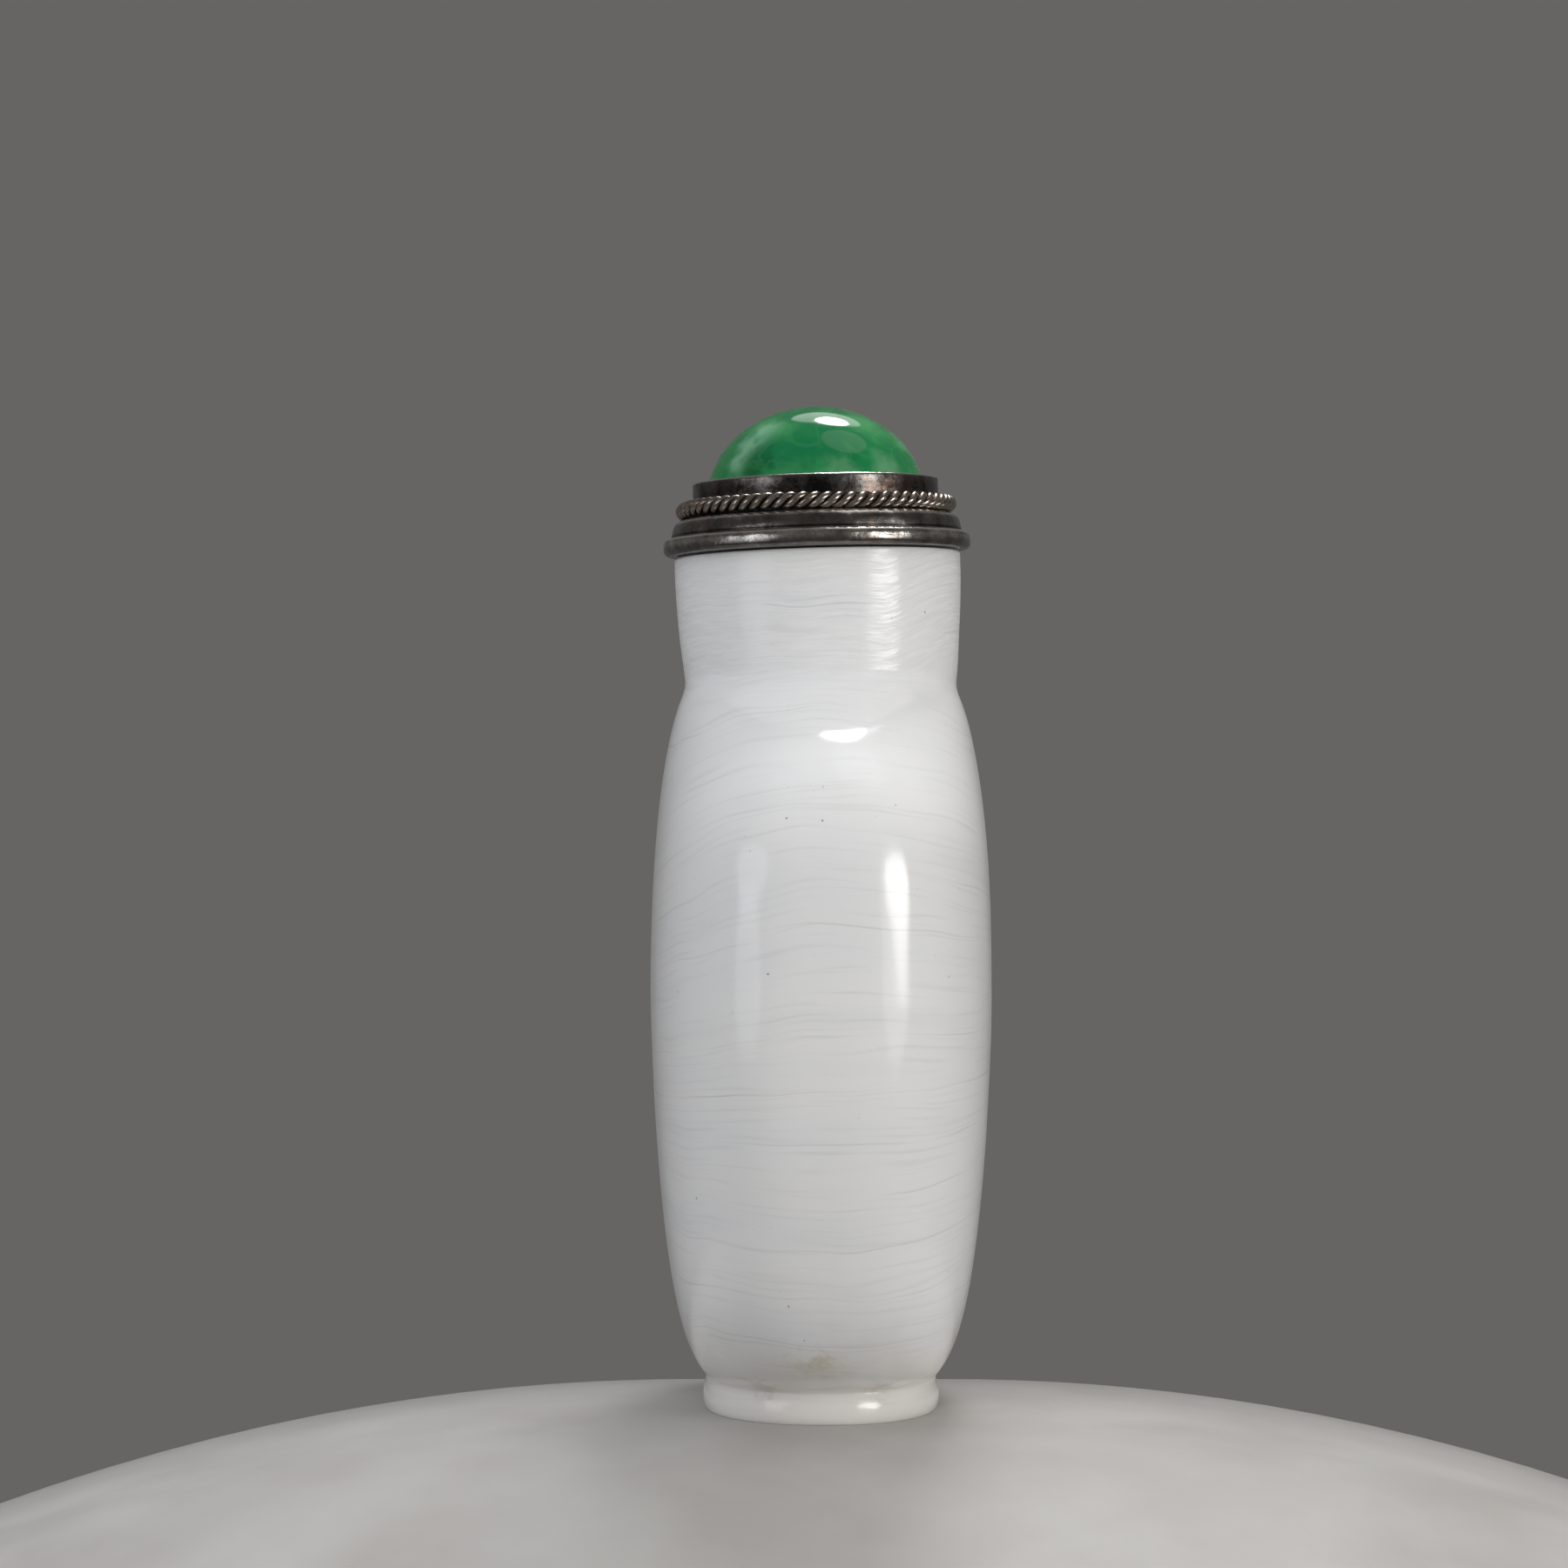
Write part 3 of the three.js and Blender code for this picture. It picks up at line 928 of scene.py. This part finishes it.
@dataclass
class SilverMount:
    """The mount: a rolled rim, a moulding above it, and the bezel cup, rubbed over onto the stone."""

    seat: Seat
    rim_radius: float
    rim_height: float = 1.15
    rim_blunt: float = 2.9
    moulding_foot: float = 9.45
    moulding_top: float = 8.75
    moulding_height: float = 2.33
    bezel_radius: float = 7.98
    bezel_top: float = 4.7
    bezel_edge: float = 0.16
    lip: tuple[tuple[float, float], ...] = (
        (7.42, 0.01),
        (7.2, 0.04),
        (7.1, 0.1),
        (7.06, 0.19),
        (7.12, 0.3),
    )  # radius, and how far under the cup's top
    pocket_radius: float = 7.43
    pocket_top: float = 0.7  # under the cup's top
    pocket_floor: float = 3.15
    spacing: float = 0.125
    around: int = 400
    wear_and_painted_highlights: tuple[tuple[float, float, float], ...] = (
        (0.72, 0.25, 0.25),
        # a painted highlight line along the rim's top edge
        (1.06, 0.09, 0.65),
        (1.27, 0.07, -0.45),
        # a painted highlight line along the moulding's top, under the wire
        (2.24, 0.14, 0.90),
        (2.75, 0.20, -0.45),
        (3.75, 0.70, -0.25),
        (4.66, 0.07, 0.60),
    )  # bands by level, spread and gain: rubbed brighter, darkened by dirt, or a painted highlight line
    worn: float = 0.42
    grains: int = 130
    grain_bearing: tuple[float, float] = (-2.5, 0.42)  # radians, middle and spread
    grain_radius: float = 8.2
    grain_levels: tuple[float, float] = (2.2, 2.62)
    grain_sizes: tuple[float, float] = (0.07, 0.14)
    finish: OldSilver = OldSilver()

    def outline(self) -> np.ndarray:
        """The section from the middle of the underside, round the outside, to the pocket's floor.

        The rolled rim is a blunt circle: its radius is multiplied by (|cos| ^ n + |sin| ^ n) ^ (-1 / n).
        """
        half, n = self.rim_height / 2, self.rim_blunt
        turn = np.radians(np.linspace(-90, 62, 18))
        cos, sin = np.cos(turn), np.sin(turn)
        blunt = half * (np.abs(cos) ** n + np.abs(sin) ** n) ** (-1 / n)
        rim = np.stack((self.rim_radius - half + blunt * cos, half + blunt * sin), axis=1)
        radii = (self.moulding_foot - self.moulding_top, self.moulding_height - self.rim_height)
        moulding = arc_points((self.moulding_top, self.rim_height), radii, 0, 90, 14)
        wall, top, edge = self.bezel_radius, self.bezel_top, self.bezel_edge
        solder = [[wall + 0.06, self.moulding_height], [wall, self.moulding_height + 0.07]]
        shoulder = arc_points((wall - edge, top - edge), (edge, edge), 0, 80, 5)
        lip = [[radius, top - drop] for radius, drop in self.lip]
        pocket = [[self.pocket_radius, top - self.pocket_top], [self.pocket_radius, self.pocket_floor]]
        middle = [[POLE, self.pocket_floor]]
        return refined(
            np.vstack(([[POLE, 0.0]], rim, moulding, solder, shoulder, lip, pocket, middle)), self.spacing
        )

    def _grains(self, grid: np.ndarray) -> np.ndarray:
        """How far solder grains stand out: a bell curve about each of many spots under the wire.

        Args:
            grid: Places in millimetres, counted from the underside.

        Returns:
            The height of the grain at each of them, 0 away from the grains.
        """
        random = np.random.default_rng(21)
        bearing = random.normal(*self.grain_bearing, self.grains)
        level = random.uniform(*self.grain_levels, self.grains)
        ring = self.grain_radius
        spots = np.stack((ring * np.cos(bearing), ring * np.sin(bearing), level), axis=1)
        size = random.uniform(*self.grain_sizes, self.grains)

        # Only the places within a grain's reach of the wire are worth testing.
        radius, height = np.hypot(grid[..., 0], grid[..., 1]), grid[..., 2]
        near = (height > 2.0) & (height < 2.9) & (radius > 7.9)
        away = np.linalg.norm(grid[near][:, None] - spots, axis=-1) / size
        raised = np.zeros(grid.shape[:2])
        raised[near] = (0.9 * size * np.exp(-(away**2))).max(axis=1)
        return raised

    def build(self) -> bpy.types.Object:
        """Makes the mount and dresses it.

        Each band wanders its own way, as bands filed by hand do, because the wander changes three
        times as fast with the height. The worn value is a base, plus a bell curve of the level for
        each worn or dirty band or painted highlight line, plus a share for the grains, which stand
        out and are rubbed bright.
        """
        grid = turned(self.outline(), self.around)
        radius, level = np.hypot(grid[..., 0], grid[..., 1]), grid[..., 2]
        band = grid * (1.0, 1.0, 3.0)
        wander = 0.030 * unevenness(band, wavelength=6.0, seed=2)
        wander += 0.016 * unevenness(band, wavelength=2.4, seed=6)
        wander *= smooth_step(7.5, 7.9, radius)
        grains = self._grains(grid)
        grid[..., :2] *= (1 + (wander + grains) / np.maximum(radius, 1.0))[..., None]
        grid[..., 2] += 0.5 * grains + 0.35 * wander * smooth_step(0.1, 0.6, level)
        worn = self.worn + 3.0 * grains
        # Most bands are rubbing or dirt; those at 1.06 and 2.24 are painted highlight lines.
        for middle, spread, gain in self.wear_and_painted_highlights:
            worn += gain * np.exp(-(((level - middle) / spread) ** 2))
        skin = SkinMesh()
        skin.add_rings(self.seat.placed(grid))
        hidden = (0.2, 0.2)  # the worn value at the middles of the underside and of the pocket's floor
        piece = skin.build("silver_mount", worn=np.append(worn.ravel(), hidden))
        return dressed(piece, self.finish, "stopper_mount")


@dataclass
class TwistedWire:
    """The ring of three silver wires twisted together, soldered on round the cup."""

    seat: Seat
    ring_radius: float
    level: float = 2.95
    wire_radius: float = 0.25
    pressed: float = 1.02
    strands: int = 3
    twists: int = 23
    along: int = 28 * twists
    around: int = 14
    finish: OldSilver = OldSilver(
        name="silver_wire_tarnished", bright="#D2CAC2", dull="#93877E", black="#3F342E", warm="#8A6C5B"
    )

    def strand(self, phase: float) -> tuple[np.ndarray, np.ndarray]:
        """One wire as rings of points, and how far out from the rope's middle each point looks.

        Its middle circles the rope's own middle line once a twist, at the distance where the wires
        just touch, radius / sin(pi / strands), and the wire's round section is square to the path
        that its middle takes. The ring wavers in level, as it was laid on by hand.

        Args:
            phase: Where on the circle it starts, in radians.

        Returns:
            The points and the outward share, -1 to 1.
        """
        bearing = np.linspace(0, TURN, self.along, endpoint=False)
        roll = phase + self.twists * bearing
        wobble = 0.03 * np.cos(3 * bearing + 0.7) + 0.02 * np.cos(7 * bearing)
        out = np.stack((np.cos(bearing), np.sin(bearing), np.zeros_like(bearing)), axis=1)
        up = np.array([0.0, 0.0, 1.0])
        spoke = np.cos(roll)[:, None] * out + np.sin(roll)[:, None] * up
        coil = self.wire_radius / math.sin(math.pi / self.strands)
        centre = self.ring_radius * out + coil * spoke + (self.level + wobble[:, None]) * up
        ahead = np.roll(centre, -1, axis=0) - np.roll(centre, 1, axis=0)
        ahead /= np.linalg.norm(ahead, axis=1, keepdims=True)
        first = spoke - (spoke * ahead).sum(axis=1, keepdims=True) * ahead
        first /= np.linalg.norm(first, axis=1, keepdims=True)
        second = np.cross(ahead, first)
        turn = np.linspace(0, TURN, self.around, endpoint=False)[:, None]
        normal = np.cos(turn) * first[:, None] + np.sin(turn) * second[:, None]
        points = centre[:, None] + self.wire_radius * self.pressed * normal
        return points, (normal * spoke[:, None]).sum(axis=-1)

    def build(self) -> bpy.types.Object:
        """Makes the wires as one piece and dresses them, dark where they press together."""
        skin = SkinMesh()
        worn = []
        for strand in range(self.strands):
            points, outward = self.strand(strand * TURN / self.strands)
            skin.add_rings(self.seat.placed(points), endless=True)
            worn.append((0.12 + 0.55 * smooth_step(0.1, 0.9, outward)).ravel())
        piece = skin.build("twisted_wire_ring", worn=np.concatenate(worn))
        return dressed(piece, self.finish, "twisted_wire")


@dataclass(frozen=True)
class GreenStone(Finish):
    """Mottled green stone, cut as a dome and polished.

    Clouds of deep emerald lie among paler veins a millimetre or two across, a little light goes
    into it, and the polish gives one small clear highlight. A pale patch on its upper left is a
    painted reflection of a soft light.
    """

    name: str = "green_stone_polished"
    deep: str = "#0C7644"
    mid: str = "#207D47"
    pale: str = "#4E9E65"
    ior: float = 1.55
    blots: tuple[Blot, ...] = (
        # Painted reflection: the first three pale blots paint the reflection of a soft light on the stone's
        # left.
        Blot((-5.2, -4.4, 60.9), 1.0, "#8FBFA4", 0.55),
        Blot((-4.6, -4.1, 62.0), 1.2, "#8FBFA4", 0.6),
        Blot((-3.5, -3.9, 63.0), 1.2, "#8FBFA4", 0.5),
        Blot((-1.9, -6.2, 61.6), 2.3, "#0A7446", 0.85),
        Blot((-4.3, -5.5, 60.6), 1.4, "#085A30", 0.85),
        Blot((4.2, -4.6, 62.2), 2.0, "#1F8049", 0.6),
        Blot((4.4, -5.2, 60.5), 1.2, "#76AB84", 0.6),
        Blot((1.0, -6.9, 60.0), 1.4, "#72A87F", 0.6),
        Blot((2.9, -5.9, 60.9), 0.75, "#12824A", 0.8),
        Blot((-0.1, -6.9, 60.5), 0.65, "#1A8A50", 0.7),
    )

    def surface(self, tree: bpy.types.NodeTree, mm: Socket) -> Socket:
        """Adds the stone's nodes.

        Args:
            tree: The node tree.
            mm: Coordinates in millimetres.

        Returns:
            The shader.
        """
        clouds = {"Vector": mm, "Scale": 0.26, "Detail": 2.5, "Roughness": 0.5, "Distortion": 0.3}
        cloud = add(tree, "TexNoise", clouds)
        stops = ((0.36, self.deep), (0.50, self.mid), (0.68, self.pale))
        colour = add(tree, "ValToRGB", {0: cloud}, stops=stops)
        fine = add(tree, "TexNoise", {"Vector": mm, "Scale": 0.8, "Detail": 2.0, "Roughness": 0.5})
        colour = stains_and_painted_reflections(tree, mm, colour, self.blots, fine, ragged=2.0, faded=2.4)

        # Pale veins, a few tenths of a millimetre wide, run between the clouds.
        vein = add(tree, "TexNoise", {"Vector": mm, "Scale": 0.36, "Detail": 2.0, "Distortion": 0.5})
        gap = add(tree, "Math", {0: vein, 1: 0.52}, operation="SUBTRACT")
        gap = add(tree, "Math", {0: gap}, operation="ABSOLUTE")
        line = add(tree, "MapRange", {0: gap, 1: 0.0, 2: 0.06, 3: 0.15, 4: 0.0}, **SMOOTH)
        colour = add(tree, "Mix", {0: line, 6: colour, 7: self.pale}, **BLEND)
        return add(
            tree,
            "BsdfPrincipled",
            {
                "Base Color": colour,
                "Roughness": 0.09,
                "IOR": self.ior,
                "Subsurface Weight": 0.25,
                "Subsurface Radius": (0.5, 1.0, 0.6),
                "Subsurface Scale": 1.0 * MM,
            },
        )


@dataclass
class Cabochon:
    """The green stone: half an ellipse turned about its height, on a flat base."""

    seat: Seat
    radius: float
    dome: float = 6.11
    base: float = 3.45
    chamfer: float = 0.25
    around: int = 180
    finish: GreenStone = GreenStone()

    def build(self) -> bpy.types.Object:
        """Makes the stone, cut by eye and so not quite even, and dresses it."""
        side = arc_points((0.0, self.base), (self.radius, self.dome), 4, 89.3, 90)
        path = np.vstack(([[POLE, self.base], [self.radius - self.chamfer, self.base]], side))
        grid = turned(refined(path, 0.25), self.around)
        wander = 0.0035 * unevenness(grid, wavelength=9.0, seed=31)
        fine = 0.001 * unevenness(grid, wavelength=3.0, seed=33)
        grid *= (1 + wander + fine)[..., None] ** 0.5
        skin = SkinMesh()
        skin.add_rings(self.seat.placed(grid))
        return dressed(skin.build("green_cabochon"), self.finish, "cabochon")


@dataclass(frozen=True)
class CorkBark(Finish):
    """Cork cut from bark: tan, with darker flecks and pores lying along its growth."""

    name: str = "cork_cut"
    tan: str = "#B48A5C"
    brown: str = "#7A5433"
    pore: str = "#3A2617"

    def surface(self, tree: bpy.types.NodeTree, mm: Socket) -> Socket:
        """Adds the cork's nodes, with pores a millimetre or so apart that are sunk and dark.

        Args:
            tree: The node tree.
            mm: Coordinates in millimetres.

        Returns:
            The shader.
        """
        grain = add(tree, "TexNoise", {"Vector": mm, "Scale": 1.6, "Detail": 5.0, "Roughness": 0.65})
        colour = add(tree, "ValToRGB", {0: grain}, stops=((0.35, self.brown), (0.6, self.tan)))
        along = add(tree, "VectorMath", {0: mm, 1: (1.8, 0.7, 0.7)}, operation="MULTIPLY")
        pores = add(tree, "TexVoronoi", {"Vector": along, "Scale": 1.0}, out="Distance")
        hole = add(tree, "MapRange", {0: pores, 1: 0.06, 2: 0.2, 3: 0.9, 4: 0.0}, **SMOOTH)
        colour = add(tree, "Mix", {0: hole, 6: colour, 7: self.pore}, **BLEND)
        sunk = add(tree, "Math", {0: grain, 1: hole}, operation="SUBTRACT")
        relief = add(tree, "Bump", {"Height": sunk, "Distance": 0.15 * MM, "Strength": 0.8})
        return add(tree, "BsdfPrincipled", {"Base Color": colour, "Roughness": 0.9, "Normal": relief})


@dataclass
class Cork:
    """The cork under the mount: a plug with both ends' edges broken, pressed a little out of round."""

    seat: Seat
    radius: float
    gap: float = 0.3
    length: float = 6.0
    lower_edge: float = 0.4
    upper_edge: float = 0.1
    pole: float = 0.3
    around: int = 96
    finish: CorkBark = CorkBark()

    def build(self) -> bpy.types.Object:
        """Makes the cork and dresses it."""
        low, high = -self.gap - self.length, -self.gap
        side, below, above = self.radius, self.lower_edge, self.upper_edge
        bottom = [[self.pole, low], [side - below, low], [side, low + below]]
        top = [[side, high - above], [side - above, high], [self.pole, high]]
        grid = turned(refined(np.array(bottom + top), 0.2), self.around)
        dent = 0.008 * unevenness(grid, wavelength=2.5, seed=14)
        grid[..., :2] *= (1 - 0.008 - dent)[..., None]
        skin = SkinMesh()
        skin.add_rings(self.seat.placed(grid))
        return dressed(skin.build("cork_plug"), self.finish, "cork")


def dressed(piece: bpy.types.Object, finish: Finish, node: str) -> bpy.types.Object:
    """Gives a piece its finish and ties it to the frame.

    Args:
        piece: The finished mesh object.
        finish: What it is made of.
        node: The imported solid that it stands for.

    Returns:
        The piece.
    """
    piece.data.materials.append(finish.material())
    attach(piece, "root")
    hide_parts(node)
    return piece


# ---------------------------------------------------------------- the studio


class Panel(Enum):
    """The outline of a light's panel."""

    SQUARE = "RECTANGLE"
    ROUND = "ELLIPSE"


@dataclass(frozen=True)
class SoftBox:
    """A soft light: its direction from the bottle, its distance and size, and how bright it looks."""

    name: str
    azimuth: float  # degrees from the camera's side towards +X
    elevation: float  # degrees
    distance: float  # mm
    size: tuple[float, float]  # mm
    radiance: float
    colour: str = "#FFFFFF"
    panel: Panel = Panel.SQUARE
    roll: float = 0.0  # degrees, clockwise as the bottle sees it
    mirrored: bool = True  # whether polished surfaces show it

    def build(self, target: Vector) -> bpy.types.Object:
        """Hangs the light at its place.

        Its power is radiance x pi x the panel's area, so a larger panel looks as bright.

        Args:
            target: The point that it faces.

        Returns:
            The light.
        """
        azimuth, elevation = math.radians(self.azimuth), math.radians(self.elevation)
        level = math.cos(elevation)
        towards = Vector((level * math.sin(azimuth), -level * math.cos(azimuth), math.sin(elevation)))
        data = bpy.data.lights.new(self.name, "AREA")
        data.shape = self.panel.value
        data.size, data.size_y = (side * MM for side in self.size)
        area = data.size * data.size_y * (math.pi / 4 if self.panel is Panel.ROUND else 1.0)
        data.energy = self.radiance * math.pi * area
        data.color = linear(self.colour)[:3]
        lamp = bpy.data.objects.new(self.name, data)
        lamp.location = target + towards * self.distance * MM
        roll = Quaternion((0.0, 0.0, 1.0), math.radians(self.roll))
        lamp.rotation_euler = (towards.to_track_quat("Z", "Y") @ roll).to_euler()
        lamp.visible_camera = False
        lamp.visible_glossy = self.mirrored
        bpy.context.scene.collection.objects.link(lamp)
        return lamp


@dataclass(frozen=True)
class FrostedSheet(Finish):
    """A pale frosted sheet to stand on: even, matt and a little cloudy, darker at the back by painted
    shade.
    """

    name: str = "frosted_sheet"
    pale: str = "#BBB9B6"
    grey: str = "#AFACA9"
    # the colour of the painted shade at the sheet's back
    far: str = "#7D7A77"
    dims: tuple[float, float] = (-4.0, 24.0)  # mm behind the foot's middle between which the painted shade darkens it

    def surface(self, tree: bpy.types.NodeTree, mm: Socket) -> Socket:
        """Adds the sheet's nodes.

        Args:
            tree: The node tree.
            mm: Coordinates in millimetres.

        Returns:
            The shader.
        """
        cloud = add(tree, "TexNoise", {"Vector": mm, "Scale": 0.08, "Detail": 4.0})
        colour = add(tree, "ValToRGB", {0: cloud}, stops=((0.35, self.grey), (0.65, self.pale)))
        # Painted shade: the colour darkens towards the sheet's back, as if less light reached it there.
        back = add(tree, "SeparateXYZ", {0: mm}, out="Y")
        near, far = self.dims
        painted_shade = add(tree, "MapRange", {0: back, 1: near, 2: far, 3: 0.0, 4: 0.8}, **SMOOTH)
        colour = add(tree, "Mix", {0: painted_shade, 6: colour, 7: self.far}, **BLEND)
        return add(tree, "BsdfPrincipled", {"Base Color": colour, "Roughness": 0.6})


class Look(Enum):
    """How the picture is made from the light: as it is, with no film curve."""

    PLAIN = "Standard"


@dataclass
class Studio:
    """The plain pale floor, the soft lights and the camera."""

    eye: tuple[float, float, float] = (-2.4, -306.0, 38.2)
    aim: tuple[float, float, float] = (-2.4, 0.0, 40.3)
    lens: float = 108.0
    sensor: float = 36.0
    lit_point: tuple[float, float, float] = (0.0, 0.0, 32.0)
    backdrop: str = "#666563"
    floor_half: float = 420.0
    floor_points: int = 161
    level_half: tuple[float, float] = (9.0, 11.2)
    fall_radius: tuple[float, float] = (130.0, 40.0)
    finish: FrostedSheet = FrostedSheet()
    boxes: tuple[SoftBox, ...] = (
        SoftBox("box_right", 54.0, 5.7, 420.0, (200.0, 108.0), 8.0, "#FFFDFB", Panel.ROUND, roll=-10.0),
        SoftBox("glow_right", 51.0, 4.0, 430.0, (235.0, 245.0), 1.6, "#FFFDFB", Panel.ROUND, roll=-12.0),
        SoftBox("box_left", -52.0, 9.0, 420.0, (250.0, 125.0), 1.7, "#F7F8FF", Panel.ROUND, roll=6.0),
        SoftBox("glow_left", -54.0, -3.0, 430.0, (210.0, 110.0), 1.2, "#F2F6FF", Panel.ROUND),
        SoftBox("wall_left", -96.0, 24.0, 460.0, (330.0, 300.0), 1.15, "#F1F5FF", mirrored=False),
        SoftBox("wall_right", 100.0, 12.0, 460.0, (280.0, 280.0), 0.65, "#FFFCFA", mirrored=False),
        SoftBox("box_top", 165.0, 62.5, 420.0, (108.0, 108.0), 20.0, panel=Panel.ROUND),
        SoftBox("veil_top", 172.0, 57.0, 440.0, (215.0, 190.0), 1.7, panel=Panel.ROUND),
        SoftBox("disc_top", 84.0, 71.0, 450.0, (270.0, 250.0), 0.6, panel=Panel.ROUND),
        SoftBox("sky", 0.0, 76.0, 460.0, (420.0, 420.0), 0.85, mirrored=False),
        SoftBox("back", 180.0, 22.0, 460.0, (420.0, 320.0), 0.6, mirrored=False),
        SoftBox("fill", -12.0, 32.0, 460.0, (520.0, 380.0), 1.2, mirrored=False),
    )

    def floor(self) -> bpy.types.Object:
        """A sheet that is level under the foot and falls away beyond it on each axis, as a parabola.

        The fall is distance ^ 2 / (2 radius). Points lie at reach x share ^ 1.5 of an even run of
        shares, so they are closest at the middle.
        """
        side = np.linspace(-1.0, 1.0, self.floor_points)
        ruled = self.floor_half * side * np.abs(side) ** 0.5
        x, y = np.meshgrid(ruled, ruled, indexing="ij")
        fall = np.zeros_like(x)
        for value, half, radius in zip((x, y), self.level_half, self.fall_radius):
            fall += np.maximum(np.abs(value) - half, 0.0) ** 2 / (2 * radius)
        index = np.arange(x.size).reshape(x.shape)
        quads = np.stack((index[:-1, :-1], index[1:, :-1], index[1:, 1:], index[:-1, 1:]), axis=-1)
        points = np.stack((x, y, -fall), axis=-1).reshape(-1, 3)
        floor = SkinMesh([points], quads.reshape(-1, 4).tolist(), x.size).build("floor")
        floor.data.materials.append(self.finish.material())
        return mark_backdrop(floor)

    def camera(self) -> bpy.types.Object:
        """The camera, level with the shoulder and looking up by less than a degree."""
        data = bpy.data.cameras.new("camera")
        data.lens, data.sensor_width = self.lens, self.sensor
        data.clip_start, data.clip_end = 1 * MM, 100.0
        camera = bpy.data.objects.new("camera", data)
        eye, aim = Vector(self.eye) * MM, Vector(self.aim) * MM
        camera.location = eye
        camera.rotation_euler = (aim - eye).to_track_quat("-Z", "Y").to_euler()
        bpy.context.scene.collection.objects.link(camera)
        bpy.context.scene.camera = camera
        return camera

    def build(self) -> None:
        """Sets up the backdrop, the floor, the light and the camera."""
        scene = bpy.context.scene
        scene.view_settings.view_transform = Look.PLAIN.value
        world = bpy.data.worlds.new("studio")
        world.use_nodes = True
        world.node_tree.nodes["Background"].inputs["Color"].default_value = linear(self.backdrop)
        scene.world = world
        self.floor()
        for box in self.boxes:
            box.build(Vector(self.lit_point) * MM)
        self.camera()


def packed_half(node: str, axis: int = 1) -> float:
    """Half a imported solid's size along one axis, across the breadth unless told otherwise.

    Args:
        node: The solid's name.
        axis: 0 for X, 1 for Y or 2 for Z.

    Returns:
        Half its size in millimetres.
    """
    low, high = (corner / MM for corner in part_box(node))
    return (high[axis] - low[axis]) / 2


def main() -> None:
    """Builds the bottle, the stopper's pieces and the studio in order."""
    logging.basicConfig(level=logging.INFO, format="%(name)s: %(message)s")
    bottle = GlassBottle(half_thickness=packed_half("bottle", axis=0), half_breadth=packed_half("bottle"))
    rim_radius = packed_half("stopper_mount")
    rim_half = SilverMount.rim_height / 2
    seat = Seat.of_mount(bottle.lean, rim_half, rim_radius - rim_half)
    parts = (
        bottle,
        SilverMount(seat, rim_radius),
        TwistedWire(seat, ring_radius=packed_half("twisted_wire") - PACKED_ROPE_RADIUS),
        Cabochon(seat, radius=packed_half("cabochon")),
        Cork(seat, radius=packed_half("cork")),
    )
    for part in parts:
        piece = part.build()
        LOG.info("%s: %d faces, %s", piece.name, len(piece.data.polygons), part.finish.name)
    studio = Studio()
    studio.build()
    LOG.info("studio: floor, %d soft boxes and camera", len(studio.boxes))


if __name__ == "__main__":
    main()
